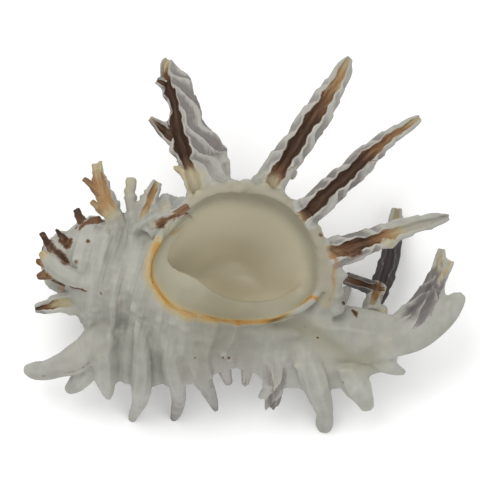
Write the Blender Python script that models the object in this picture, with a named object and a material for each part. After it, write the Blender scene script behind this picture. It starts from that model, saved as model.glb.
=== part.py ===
"""Ramose murex shell, lying on its back with the aperture up, as one closed solid.

The apex points to -X, the siphonal canal to +X and the outer lip to +Y. Lengths are in millimetres until
the mesh is made, which is in metres. Points written as (x, y) are pixels of the reference picture, which
looks straight down on the shell, and Z is a height above the surface that it lies on.
"""

import math

import bmesh
import bpy
import numpy as np
from mathutils import Matrix, Vector

MM = 0.001
SHELL_LENGTH = 190.0  # from the longest left spine to the canal's end
PICTURE_LENGTH = 441.0  # the same, in pixels
PICTURE_CENTRE = (243.5, 247.0)
PX = SHELL_LENGTH / PICTURE_LENGTH

AXIS_HEIGHT = 40.0  # the coiling axis above the resting surface
AXIS_START = (52.0, 257.0)
AXIS_TILT = math.radians(-13.0)
LIP_ANGLE = 45.0  # degrees round the axis, from +Y towards +Z
WHORL_RADIUS = 40.0  # outer radius at the lip, and its share one whorl earlier
WHORL_RATIO = 0.56
WHORL_HALF_HEIGHT = 24.0
HEIGHT_RATIO = 0.6
WHORL_TRAVEL = 58.0  # how far down the axis the last whorl's centre lies
TRAVEL_RATIO = 0.407
WHORLS = 3.3
CORD_HEIGHT = 0.9
CORD_COUNT = 9
VARIX_SWELL = 2.2  # a varix stands every third of a whorl
NODULE_SWELL = 0.8  # with two lower folds between
LIP_WALL = 4.0
RIM_RADIUS = 1.2
FLANGE_THICKNESS = 1.5
FLANGE_SPREAD = 0.6  # a grooved spine's thin edge, which the fusing wears away
FRILL_DEPTH = 1.3  # scales along the edge of a grooved spine
FRILL_PITCH = 8.0
LIP_RIPPLE = 0.9
LIP_PITCH = 7.0
VOXEL = 1.0
FACES = 9400
SWEEP_STEP = 2.2

# Distance down the axis and radius of the columella, from the spire to the canal.
CORE_PROFILE = [(6, 7), (22, 16), (40, 26), (55, 29), (70, 28.5), (85, 25), (100, 19.5), (112, 15), (124, 11)]

# The aperture's rim and, inside it, the edge of the throat: x, y and height, in step with each other.
RIM_OUTLINE = [
    (153, 258, 67), (151, 274, 67), (158, 290, 67), (170, 303, 67), (188, 312, 66), (211, 317, 65),
    (235, 320, 64), (258, 320, 63), (279, 316, 61), (296, 308, 59), (309, 298, 58), (317, 285, 60),
    (319, 268, 63), (316, 251, 65), (310, 236, 67), (301, 222, 68), (288, 208, 69), (271, 199, 70),
    (252, 194, 70), (233, 193, 70), (214, 196, 70), (197, 205, 69), (180, 221, 68), (164, 239, 67),
]
THROAT_OUTLINE = [
    (167, 256, 63), (173, 266, 62), (185, 272, 61), (199, 279, 61), (211, 288, 61), (225, 295, 60),
    (240, 299, 59), (257, 300, 58), (274, 298, 57), (288, 293, 55), (299, 286, 54), (306, 276, 55),
    (308, 262, 57), (306, 249, 59), (301, 236, 60), (293, 225, 61), (281, 214, 62), (266, 206, 63),
    (250, 202, 64), (233, 201, 64), (216, 204, 64), (201, 212, 64), (186, 225, 64), (173, 241, 64),
]
# Below the throat: size against the throat's, shift in x and y, and share of the way down to the floor.
CAVITY_LEVELS = [
    (0.96, -2, 6, 0.12), (0.86, -5, 14, 0.35), (0.72, -8, 19, 0.58), (0.55, -9, 20, 0.78),
    (0.36, -9, 18, 0.92), (0.16, -8, 17, 1.0),
]
CAVITY_FLOOR = 30.0

# Runs of (x, y, height, left, right): the widths are to each edge, seen from above and facing the tip.
LIP_SPINES = {
    "lip_spine_a": [
        (201, 216, 62, 10, 24), (199, 203, 65, 12, 34), (196, 190, 67, 9, 36), (192, 176, 69, 10, 39),
        (187, 163, 70, 7, 41), (184, 152, 71, 10, 38), (180, 140, 71, 14, 32), (177, 126, 70, 9, 26),
        (176, 114, 69, 5, 25), (174, 103, 68, 5, 22), (171, 93, 66, 7, 22), (167, 84, 64, 6, 23),
        (165, 76, 62, 4, 22), (165, 68, 60, 4, 19), (167, 62, 58, 5, 12), (169, 58, 57, 2, 4),
    ],
    "lip_spine_b": [
        (258, 206, 62, 12, 12), (266, 193, 65, 18, 16), (272, 182, 67, 17, 14), (280, 170, 69, 16, 12),
        (288, 157, 70, 15, 14), (296, 144, 70, 12, 15), (305, 130, 69, 13, 14), (313, 118, 68, 12, 16),
        (322, 105, 66, 12, 14), (330, 93, 64, 11, 12), (337, 81, 61, 9, 10), (343, 70, 58, 8, 9),
        (347, 62, 56, 5, 5), (351, 57, 54, 2, 2),
    ],
    "lip_spine_c": [
        (292, 226, 61, 10, 12), (303, 216, 64, 14, 14), (314, 206, 66, 13, 14), (326, 194, 67, 12, 14),
        (337, 184, 67, 12, 13), (349, 174, 66, 11, 12), (360, 163, 65, 11, 13), (371, 153, 63, 10, 10),
        (382, 144, 61, 9, 8), (393, 135, 58, 7, 7), (404, 128, 55, 6, 6), (413, 122, 53, 5, 5),
        (421, 117, 51, 2, 2),
    ],
    "lip_spine_d": [
        (318, 256, 59, 10, 14), (335, 252, 61, 14, 15), (348, 248, 62, 13, 15), (361, 244, 62, 12, 13),
        (374, 240, 61, 12, 10), (387, 236, 60, 12, 12), (398, 231, 58, 11, 8), (409, 228, 56, 9, 7),
        (421, 224, 54, 8, 6), (433, 221, 52, 7, 6), (443, 218, 50, 4, 4), (450, 217, 48, 2, 3),
    ],
}
LIP_BRANCHES = {
    "branch_a_low": [(190, 176, 68, 5, 5), (181, 170, 68, 4, 4), (173, 167, 67, 2, 2)],
    "branch_a_mid": [(178, 140, 70, 8, 12), (165, 130, 68, 6, 8), (156, 123, 66, 4, 4), (149, 118, 64, 2, 2)],
    "branch_a_top": [(172, 90, 66, 5, 5), (163, 83, 65, 4, 4), (156, 80, 64, 2, 2)],
    "branch_b": [(283, 166, 68, 5, 5), (294, 172, 66, 4, 4), (291, 180, 65, 2, 2)],
    "branch_c": [(363, 164, 64, 5, 5), (374, 168, 62, 3, 3)],
    "branch_d": [(385, 240, 60, 5, 5), (394, 247, 58, 3, 3)],
}
BACK_SPINES = {
    "back_spine_e": [
        (366, 330, 36, 6, 6), (374, 306, 28, 7, 7), (382, 284, 22, 9, 9), (389, 264, 17, 9, 9),
        (392, 247, 14, 8, 8), (395, 230, 11, 7, 7), (397, 216, 9, 6, 6), (398, 207, 8, 4, 4),
    ],
    "back_column": [(366, 326, 38, 8, 8), (371, 308, 35, 7, 7), (377, 291, 33, 7, 7), (381, 282, 32, 3, 3)],
    "back_spine_f": [(388, 290, 31, 3, 3), (378, 288, 33, 5, 5), (362, 284, 34, 6, 6), (345, 278, 34, 5, 5)],
    "back_lump": [(366, 312, 37, 6, 6), (380, 312, 36, 6, 6), (388, 311, 36, 4, 4)],
    "canal_spine_g": [
        (392, 330, 38, 9, 9), (408, 318, 41, 11, 12), (422, 304, 43, 11, 14), (432, 288, 44, 9, 13),
        (438, 270, 43, 6, 8), (440, 258, 41, 4, 5), (442, 248, 40, 2, 3),
    ],
    "canal_branch_g": [(436, 284, 43, 6, 6), (446, 271, 42, 4, 4), (451, 260, 41, 3, 3)],
}
LEFT_SPINES = {
    "shoulder_spine_t": [
        (121, 232, 52, 10, 10), (113, 218, 54, 10, 12), (105, 205, 55, 8, 13), (101, 192, 55, 6, 11),
        (98, 178, 54, 6, 9), (97, 162, 52, 5, 6),
    ],
    "shoulder_branch_t": [(103, 196, 55, 5, 5), (93, 187, 53, 4, 4), (83, 178, 51, 3, 3)],
    "shoulder_lobe_t": [(106, 214, 53, 5, 5), (98, 207, 52, 4, 4), (91, 201, 51, 3, 3)],
    "shoulder_spine_u": [
        (134, 222, 52, 8, 8), (131, 205, 53, 6, 6), (130, 190, 52, 6, 6), (131, 178, 50, 5, 5),
    ],
    "shoulder_spine_v": [
        (141, 226, 54, 9, 9), (146, 210, 55, 8, 8), (151, 196, 54, 7, 7), (158, 181, 52, 4, 4),
    ],
    "shoulder_lobe_v": [(148, 204, 54, 4, 4), (140, 194, 53, 3, 3), (136, 191, 52, 2, 2)],
    "shoulder_lobe_w": [(168, 226, 60, 9, 9), (168, 214, 62, 8, 8), (166, 206, 61, 5, 5)],
    "shoulder_fold": [(152, 224, 58, 6, 6), (166, 220, 62, 6, 6), (181, 211, 65, 4, 4)],
    "spire_tube": [(96, 240, 46, 7, 7), (84, 225, 47, 5, 5), (75, 209, 46, 4, 4)],
    "spire_frill": [(80, 232, 48, 4, 4), (90, 222, 49, 4, 4), (101, 219, 50, 4, 4)],
    "spire_spine_high": [(78, 250, 50, 7, 7), (66, 240, 51, 5, 5), (55, 229, 51, 3, 3)],
    "spire_spine_far": [(72, 264, 46, 9, 9), (55, 251, 45, 6, 6), (47, 241, 44, 5, 5), (40, 232, 43, 3, 3)],
    "apex": [(80, 258, 42, 13, 13), (66, 250, 42, 10, 10), (54, 250, 41, 7, 7), (42, 250, 41, 4, 4)],
}
LOW_SPINES = {
    "horn_s": [
        (100, 286, 58, 9, 9), (82, 282, 61, 10, 10), (68, 276, 62, 9, 9), (54, 266, 61, 9, 9),
        (41, 252, 59, 4, 4),
    ],
    "horn_branch": [(60, 272, 60, 6, 6), (48, 274, 57, 6, 6), (37, 277, 55, 3, 3)],
    "horn_thorn": [(56, 268, 60, 6, 6), (46, 264, 58, 5, 5), (36, 261, 56, 3, 3)],
    "spire_spine_r": [
        (94, 304, 52, 12, 12), (76, 303, 52, 12, 12), (60, 303, 51, 9, 9), (46, 307, 49, 6, 6),
        (34, 309, 48, 3, 3),
    ],
    "low_spine_q": [
        (112, 330, 50, 15, 15), (94, 346, 44, 17, 17), (76, 359, 37, 15, 15), (60, 366, 30, 12, 12),
        (44, 371, 24, 10, 10), (33, 371, 20, 9, 9), (24, 370, 17, 5, 5),
    ],
    "low_spine_p": [(104, 350, 42, 12, 12), (88, 371, 33, 11, 11), (76, 384, 25, 9, 9), (67, 391, 20, 5, 5)],
    "low_spine_o": [
        (106, 326, 52, 6, 6), (105, 352, 46, 11, 11), (105, 376, 37, 11, 11), (107, 391, 28, 7, 7),
        (108, 399, 22, 3, 3),
    ],
    "low_spine_n": [
        (141, 322, 60, 6, 6), (141, 348, 54, 8, 8), (142, 372, 46, 10, 10), (141, 391, 34, 10, 10),
        (138, 405, 20, 8, 8), (132, 416, 6, 7, 6), (130, 420, -2, 6, 5),
    ],
    "low_spine_m": [
        (164, 326, 60, 5, 5), (168, 348, 54, 8, 8), (173, 371, 46, 11, 11), (178, 391, 34, 8, 8),
        (178, 405, 20, 7, 7), (176, 416, 6, 6, 6), (175, 420, -2, 5, 5),
    ],
    "low_spine_l": [
        (188, 330, 59, 5, 5), (191, 350, 52, 8, 8), (198, 370, 44, 11, 11), (207, 388, 32, 8, 8),
        (212, 400, 22, 6, 6), (216, 411, 14, 3, 3),
    ],
    "low_spine_k": [(220, 335, 58, 5, 5), (222, 355, 50, 8, 8), (225, 371, 41, 7, 7), (229, 384, 34, 4, 4)],
    "low_spine_j": [(247, 335, 56, 5, 5), (248, 355, 48, 7, 7), (247, 371, 41, 6, 6), (245, 385, 34, 4, 4)],
    "low_spine_i": [
        (268, 334, 55, 5, 5), (272, 356, 48, 8, 8), (274, 378, 39, 11, 11), (273, 396, 28, 8, 8),
        (270, 410, 17, 4, 4),
    ],
    "low_branch_i": [(272, 386, 34, 6, 6), (266, 392, 29, 5, 5), (260, 398, 25, 3, 3)],
    "low_spine_h": [
        (298, 334, 56, 6, 6), (305, 352, 51, 8, 8), (311, 372, 44, 12, 12), (318, 391, 33, 13, 16),
        (323, 409, 19, 9, 10), (325, 424, 6, 9, 9), (325, 429, -2, 8, 8),
    ],
    "canal_spine_x": [
        (346, 362, 38, 14, 14), (356, 384, 30, 15, 14), (364, 399, 22, 8, 8), (367, 412, 16, 3, 3),
    ],
    "canal_spine_y": [
        (368, 350, 39, 12, 12), (384, 362, 34, 11, 11), (396, 370, 30, 6, 6), (405, 373, 27, 3, 3),
    ],
}
# The row on the back that the shell rests on, and the varix that carries it.
REST_SPINES = {
    "rest_spine_a": [(112, 264, 24, 10, 10), (109, 254, 12, 8, 8), (106, 246, 3, 6, 6), (104, 242, -3, 5, 5)],
    "rest_spine_b": [(150, 272, 16, 12, 12), (149, 262, 8, 9, 9), (147, 254, 1, 6, 6), (146, 250, -4, 5, 5)],
    "rest_spine_c": [(195, 280, 18, 12, 12), (194, 268, 9, 9, 9), (193, 258, 1, 6, 6), (192, 253, -4, 5, 5)],
    "rest_spine_d": [(240, 286, 22, 12, 12), (242, 272, 12, 9, 9), (244, 260, 3, 6, 6), (246, 253, -4, 5, 5)],
    "rest_spine_e": [(288, 300, 30, 11, 11), (292, 286, 17, 8, 8), (296, 274, 5, 6, 6), (299, 266, -4, 5, 5)],
    "rest_spine_f": [(330, 320, 36, 10, 10), (338, 306, 21, 8, 8), (345, 295, 7, 6, 6), (349, 287, -4, 5, 5)],
}
BACK_VARIX = [
    (92, 262, 28, 10, 10), (120, 264, 16, 12, 12), (150, 268, 12, 13, 13), (195, 276, 14, 13, 13),
    (240, 284, 19, 13, 13), (285, 298, 27, 12, 12), (330, 318, 35, 11, 11), (368, 326, 38, 10, 10),
]
LIP_EDGE = [
    (150, 236, 60, 8, 8), (160, 223, 63, 7, 7), (176, 214, 66, 6, 6), (196, 201, 68, 7, 7),
    (215, 190, 69, 8, 8), (240, 188, 69, 8, 8), (262, 191, 69, 8, 8), (284, 202, 68, 8, 8),
    (302, 217, 67, 8, 8), (316, 236, 65, 8, 8),
    (326, 255, 62, 9, 9), (334, 275, 59, 10, 10), (332, 294, 55, 11, 11), (332, 312, 49, 12, 12),
]
RIM_PATH = [
    (168, 230, 68), (156, 247, 68), (150, 264, 68), (151, 278, 68), (158, 292, 68), (169, 304, 67.5),
    (187, 314, 66.5), (211, 319, 65.5), (235, 322, 64.5), (258, 322, 63), (279, 318, 61), (296, 310, 59),
    (311, 299, 58),
]
CANAL_PATH = [
    (285, 325, 42, 22, 22), (315, 330, 42, 26, 27), (345, 333, 41, 28, 29), (372, 335, 40, 25, 28),
    (395, 334, 39, 19, 24), (415, 332, 39, 16, 20), (432, 323, 40, 15, 17), (446, 312, 42, 14, 16),
    (457, 302, 44, 10, 12), (462, 297, 44, 7, 6),
]
# The older varix below the aperture, a sheet that leans outwards: its middle line and in-plane widths.
LOW_VARIX = [
    (84, 348, 41, 14, 24), (96, 351, 43, 18, 38), (130, 350, 48, 26, 46), (160, 350, 51, 30, 47),
    (184, 350, 53, 34, 44), (205, 350, 53, 34, 41), (222, 350, 53, 34, 27), (240, 350, 52, 34, 25),
    (258, 350, 50, 34, 29), (275, 350, 48, 34, 46), (298, 350, 46, 32, 50), (320, 350, 45, 30, 51),
    (345, 350, 43, 28, 50), (363, 350, 42, 24, 41), (380, 348, 40, 20, 32), (396, 344, 39, 14, 22),
]
LOW_LEAN = Vector((0.0, -0.6, 0.8))
SHARP_ANGLE = math.radians(50.0)
CUTTER_TOP = 120.0  # above the shell
CUTTER_FLARE = 1.03
SLAB_WIDTH = 400.0
SLAB_DEPTH = 40.0

UP = Vector((0.0, 0.0, 1.0))
ALONG = Vector((math.cos(AXIS_TILT), math.sin(AXIS_TILT), 0.0))
ACROSS = UP.cross(ALONG)


def place(x, y, height):
    return Vector(((x - PICTURE_CENTRE[0]) * PX, (PICTURE_CENTRE[1] - y) * PX, height))


def round_axis(distance, radius, angle):
    """A point at a distance down the coiling axis, at an angle from +Y towards +Z."""
    start = place(AXIS_START[0], AXIS_START[1], AXIS_HEIGHT)
    return start + ALONG * distance + (ACROSS * math.cos(angle) + UP * math.sin(angle)) * radius


def smooth_run(stations, step):
    """Rows between the stations on a Catmull-Rom curve, about one step apart."""
    rows = np.array(stations, dtype=float)
    padded = np.vstack([2 * rows[0] - rows[1], rows, 2 * rows[-1] - rows[-2]])
    out = []
    for i in range(1, len(rows)):
        a, b, c, d = padded[i - 1], padded[i], padded[i + 1], padded[i + 2]
        pieces = max(1, round(float(np.linalg.norm(c[:2] - b[:2])) * PX / step))
        for k in range(pieces):
            t = k / pieces
            curve = (2 * a - 5 * b + 4 * c - d) * t * t + (3 * b - a - 3 * c + d) * t ** 3
            out.append(0.5 * (2 * b + (c - a) * t + curve))
    out.append(rows[-1])
    return np.array(out)


def oval_section(left, right):
    """A round section, a little flatter than it is wide."""
    width = (left + right) / 2
    middle = (right - left) / 2
    ring = []
    for k in range(10):
        turn = math.tau * k / 10
        ring.append((middle + width * math.cos(turn), 0.8 * width * math.sin(turn)))
    return ring


def sheet_section(left, right):
    """A low broad section for the canal, flatter above than below."""
    width = (left + right) / 2
    middle = (right - left) / 2
    ring = []
    for k in range(14):
        turn = math.tau * k / 14
        rise = 0.5 if math.sin(turn) > 0 else 0.62
        ring.append((middle + width * math.cos(turn), rise * width * math.sin(turn)))
    return ring


def varix_section(left, right):
    """A leaning sheet, thick where it leaves the whorl and thin at its outer edge."""
    above = [(-left, 0.5), (0.0, 1.6), (0.6 * right, 1.0), (right, 0.0)]
    below = [(right, -2.2), (0.3 * right, -7.5), (-left, -7.0)]
    return above + below


def groove_section(left, right):
    """A spine that is folded from a sheet: a channel between two ridges, and thin flanges beyond them."""
    left += FLANGE_SPREAD
    right += FLANGE_SPREAD
    channel = min(2.6, 0.42 * (left + right) / 2)
    ridge = min(1.2 * channel, 0.8 * left, 0.8 * right)
    body = 1.6 + 0.16 * (left + right)
    return [
        (-left, 0.0), (-ridge, 0.9), (-0.4 * channel, -0.3 * body), (0.4 * channel, -0.3 * body),
        (ridge, 0.9), (right, 0.0), (right, -FLANGE_THICKNESS), (0.35 * right, -body), (-0.35 * left, -body),
        (-left, -FLANGE_THICKNESS),
    ]


def frills(rows, depth, pitch, shape):
    """Widens the rows in turn, so that both edges carry scales or ripples."""
    steps = np.linalg.norm(np.diff(rows[:, :2], axis=0), axis=1) * PX
    along = np.concatenate([[0.0], np.cumsum(steps)])
    for side, offset in ((3, 0.0), (4, 0.45)):
        rows[:, side] += shape(along / pitch + offset) * depth / PX * np.minimum(1.0, rows[:, side] / 8.0)
    return rows


def scales(turns):
    return turns % 1.0 - 0.5


def ripples(turns):
    return np.cos(math.tau * turns)


def sweep(shape, stations, section, facing=UP, depth=0.0, pitch=1.0, edge=ripples):
    """Carries a section along a run of stations and closes both ends."""
    rows = frills(smooth_run(stations, SWEEP_STEP), depth, pitch, edge)
    centres = [place(row[0], row[1], row[2]) for row in rows]
    rings = []
    for i, row in enumerate(rows):
        ahead = centres[min(i + 1, len(rows) - 1)] - centres[max(i - 1, 0)]
        ahead.normalize()
        side = ahead.cross(facing).normalized()
        face = side.cross(ahead)
        left = max(row[3] * PX, 0.6)
        right = max(row[4] * PX, 0.6)
        rings.append([centres[i] + side * a + face * b for a, b in section(left, right)])
    add_rings(shape, rings)


def add_rings(shape, rings):
    """Adds one closed body made of rings with equally many points."""
    body = bmesh.new()
    rows = [[body.verts.new(point) for point in ring] for ring in rings]
    count = len(rings[0])
    for low, high in zip(rows, rows[1:]):
        for k in range(count):
            body.faces.new((low[k], low[(k + 1) % count], high[(k + 1) % count], high[k]))
    body.faces.new(rows[0])
    body.faces.new(rows[-1])
    bmesh.ops.recalc_face_normals(body, faces=body.faces)
    part = bpy.data.meshes.new("part")
    body.to_mesh(part)
    body.free()
    shape.from_mesh(part)
    bpy.data.meshes.remove(part)


def whorls(shape):
    """The coiled tube, from the apex to the lip, with spiral cords raised on it."""
    rings = []
    count = round(WHORLS * 30)
    for i in range(count + 1):
        turns = WHORLS * (i / count - 1)
        angle = math.radians(LIP_ANGLE) + math.tau * turns
        outer = WHORL_RADIUS * WHORL_RATIO ** -turns
        half_height = WHORL_HALF_HEIGHT * HEIGHT_RATIO ** -turns
        distance = -4.0 + WHORL_TRAVEL * TRAVEL_RATIO ** -turns
        cord = CORD_HEIGHT * outer / WHORL_RADIUS
        varix = max(0.0, math.cos(math.tau * 3 * turns)) ** 6
        nodule = max(0.0, math.cos(math.tau * 9 * turns)) ** 2
        fold = (VARIX_SWELL * varix + NODULE_SWELL * nodule) * outer / WHORL_RADIUS
        ring = []
        for k in range(48):
            turn = math.tau * k / 48
            swell = (fold + cord * math.cos(CORD_COUNT * turn * 2)) * max(0.0, math.cos(turn))
            radius = 0.48 * outer + (0.52 * outer + swell) * math.cos(turn)
            ring.append(round_axis(distance + half_height * math.sin(turn), radius, angle))
        rings.append(ring)
    add_rings(shape, rings)


def columella(shape):
    """The solid of revolution that joins the whorls to the canal."""
    rings = []
    for distance, radius in CORE_PROFILE:
        rings.append([round_axis(distance, radius, math.tau * k / 32) for k in range(32)])
    add_rings(shape, rings)


def outline_ring(outline, size=1.0, shift=(0.0, 0.0), height=0.0, share=0.0, grow=0.0):
    """An outline resized about its middle, moved, pushed out by some millimetres and taken to a height.

    The share says how far each point goes from its own height to the new one.
    """
    points = np.array(outline, dtype=float)
    middle = points[:, :2].mean(axis=0)
    ring = []
    for x, y, z in points:
        out = np.array([x, y]) - middle
        reach = size + grow / (float(np.linalg.norm(out)) * PX)
        spot = middle + out * reach + np.array(shift)
        ring.append(place(spot[0], spot[1], z + (height - z) * share))
    return ring


def cavity_rings(grow=0.0, drop=0.0):
    """The hollow from the throat down, grown outwards and dropped by a wall's thickness if asked."""
    rings = [outline_ring(THROAT_OUTLINE, grow=grow)]
    for size, shift_x, shift_y, share in CAVITY_LEVELS:
        ring = outline_ring(THROAT_OUTLINE, size, (shift_x, shift_y), CAVITY_FLOOR, share, grow)
        rings.append([point - UP * drop for point in ring])
    return rings


def lip_wall(shape):
    """The flared outer wall round the hollow, solid until the hollow is cut."""
    rings = [outline_ring(RIM_OUTLINE, grow=LIP_WALL)]
    add_rings(shape, rings + cavity_rings(LIP_WALL + 2.0, LIP_WALL + 2.0))


def aperture_cutter():
    cutter = bmesh.new()
    chimney = outline_ring(RIM_OUTLINE, CUTTER_FLARE, height=CUTTER_TOP, share=1.0)
    rings = [chimney, outline_ring(RIM_OUTLINE)]
    add_rings(cutter, rings + cavity_rings())
    return make_object("aperture_cutter", cutter)


def spines(shape):
    for group in (LIP_SPINES, BACK_SPINES):
        for run in group.values():
            sweep(shape, run, groove_section, UP, FRILL_DEPTH, FRILL_PITCH, scales)
    for group in (LIP_BRANCHES, LEFT_SPINES, LOW_SPINES):
        for run in group.values():
            sweep(shape, run, oval_section)
    for run in REST_SPINES.values():
        sweep(shape, run, oval_section, ACROSS)


def make_object(name, shape):
    """Scales the millimetres to metres and links the mesh as an object."""
    bmesh.ops.transform(shape, matrix=Matrix.Scale(MM, 4), verts=shape.verts)
    bmesh.ops.recalc_face_normals(shape, faces=shape.faces)
    mesh = bpy.data.meshes.new(name)
    shape.to_mesh(mesh)
    shape.free()
    thing = bpy.data.objects.new(name, mesh)
    bpy.context.scene.collection.objects.link(thing)
    return thing


def bake_modifiers(thing):
    """Replaces the mesh by what its modifiers make of it."""
    graph = bpy.context.evaluated_depsgraph_get()
    mesh = bpy.data.meshes.new_from_object(thing.evaluated_get(graph))
    thing.modifiers.clear()
    thing.data = mesh


def cut(thing, cutter):
    step = thing.modifiers.new("cut", "BOOLEAN")
    step.operation = "DIFFERENCE"
    step.solver = "EXACT"
    step.object = cutter
    bake_modifiers(thing)
    bpy.data.objects.remove(cutter)


def surface_cutter():
    """A slab under the resting surface, which flattens the tips that reach it."""
    slab = bmesh.new()
    bmesh.ops.create_cube(slab, size=1.0)
    size = Matrix.Diagonal((SLAB_WIDTH, SLAB_WIDTH, SLAB_DEPTH, 1.0))
    bmesh.ops.transform(slab, matrix=size, verts=slab.verts)
    bmesh.ops.translate(slab, vec=(0.0, 0.0, -SLAB_DEPTH / 2), verts=slab.verts)
    return make_object("surface_cutter", slab)


def keep_largest(thing):
    """Drops any crumb that the cuts have left loose."""
    body = bmesh.new()
    body.from_mesh(thing.data)
    body.verts.ensure_lookup_table()
    seen = set()
    groups = []
    for start in body.verts:
        if start in seen:
            continue
        group = []
        queue = [start]
        seen.add(start)
        while queue:
            vert = queue.pop()
            group.append(vert)
            for edge in vert.link_edges:
                other = edge.other_vert(vert)
                if other not in seen:
                    seen.add(other)
                    queue.append(other)
        groups.append(group)
    groups.sort(key=len)
    for group in groups[:-1]:
        bmesh.ops.delete(body, geom=group, context="VERTS")
    bmesh.ops.triangulate(body, faces=body.faces)
    body.to_mesh(thing.data)
    body.free()


def centre_on_base(thing):
    """Puts the origin under the middle of the shell's box."""
    xs = [vert.co.x for vert in thing.data.vertices]
    ys = [vert.co.y for vert in thing.data.vertices]
    middle = Vector(((min(xs) + max(xs)) / 2, (min(ys) + max(ys)) / 2, 0.0))
    thing.data.transform(Matrix.Translation(-middle))


def shell_material():
    material = bpy.data.materials.new("shell")
    material.use_nodes = True
    shader = material.node_tree.nodes["Principled BSDF"]
    shader.inputs["Base Color"].default_value = (0.62, 0.60, 0.53, 1.0)
    shader.inputs["Roughness"].default_value = 0.5
    shader.inputs["Metallic"].default_value = 0.0
    return material


def build_shell():
    shape = bmesh.new()
    whorls(shape)
    columella(shape)
    lip_wall(shape)
    sweep(shape, CANAL_PATH, sheet_section)
    sweep(shape, LIP_EDGE, oval_section, UP, LIP_RIPPLE, LIP_PITCH)
    sweep(shape, LOW_VARIX, varix_section, LOW_LEAN)
    sweep(shape, BACK_VARIX, oval_section)
    spines(shape)
    sweep(shape, [point + (RIM_RADIUS / PX, RIM_RADIUS / PX) for point in RIM_PATH], oval_section)
    shell = make_object("shell", shape)
    fuse = shell.modifiers.new("fuse", "REMESH")
    fuse.mode = "VOXEL"
    fuse.voxel_size = VOXEL * MM
    bake_modifiers(shell)
    cut(shell, aperture_cutter())
    thin = shell.modifiers.new("thin", "DECIMATE")
    thin.ratio = FACES / (2.0 * len(shell.data.polygons))
    bake_modifiers(shell)
    cut(shell, surface_cutter())
    keep_largest(shell)
    centre_on_base(shell)
    shell.data.shade_smooth()
    shell.data.set_sharp_from_angle(angle=SHARP_ANGLE)
    shell.data.materials.clear()
    shell.data.materials.append(shell_material())
    return shell


for old in list(bpy.data.objects):
    bpy.data.objects.remove(old)
build_shell()
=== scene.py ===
import math

import bmesh
import bpy
import numpy as np
from mathutils import Matrix, Vector, kdtree
from mathutils.bvhtree import BVHTree


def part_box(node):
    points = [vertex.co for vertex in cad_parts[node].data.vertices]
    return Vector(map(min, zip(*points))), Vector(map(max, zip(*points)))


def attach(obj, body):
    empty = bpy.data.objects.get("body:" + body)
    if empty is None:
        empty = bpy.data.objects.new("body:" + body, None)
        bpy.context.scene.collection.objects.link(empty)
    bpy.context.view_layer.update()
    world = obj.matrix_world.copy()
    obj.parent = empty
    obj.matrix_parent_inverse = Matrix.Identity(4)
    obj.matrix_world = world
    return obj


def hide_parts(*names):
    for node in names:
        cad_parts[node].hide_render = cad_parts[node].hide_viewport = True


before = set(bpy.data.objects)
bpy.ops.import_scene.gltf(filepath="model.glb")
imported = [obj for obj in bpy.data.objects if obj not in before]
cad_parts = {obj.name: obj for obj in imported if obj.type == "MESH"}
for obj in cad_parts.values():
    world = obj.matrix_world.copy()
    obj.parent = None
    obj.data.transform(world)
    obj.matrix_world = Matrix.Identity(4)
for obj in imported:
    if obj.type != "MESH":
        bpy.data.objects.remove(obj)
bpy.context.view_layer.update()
print("frame loaded")

# Lengths are in millimetres until the mesh is finished. Points (x, y) are pixels of the reference picture,
# which looks straight down, and a height is above the surface that the shell lies on.
scale = dict(
    perPixel=190.0 / 441.0,
    middle=(243.5, 247.0),
    metres=0.001,
)

whorlShape = dict(
    axisStart=(52.0, 257.0),
    axisHeight=40.0,
    axisTilt=-13.0,  # degrees
    lipAngle=45.0,  # from +Y towards +Z
    radius=40.0,
    radiusRatio=0.56,
    halfHeight=24.0,
    heightRatio=0.6,
    inner=0.48,  # shares of the radius
    outer=0.52,
    start=-4.0,
    travel=58.0,
    travelRatio=0.407,
    turns=3.3,
    cord=0.75,
    fineCord=0.3,  # against a cord
    cords=9,
    varix=2.2,
    varices=3,  # to a turn
    nodule=0.8,
    nodules=9,
)

meshing = dict(
    step=0.8,
    thinnest=0.6,
    whorlRings=260,
    whorlPoints=168,
    firstVoxel=1.2,
    voxel=0.58,
    softenings=16,
    faces=194000,
)

up = Vector((0.0, 0.0, 1.0))
tilt = math.radians(whorlShape["axisTilt"])
downAxis = Vector((math.cos(tilt), math.sin(tilt), 0.0))
acrossAxis = up.cross(downAxis)

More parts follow.
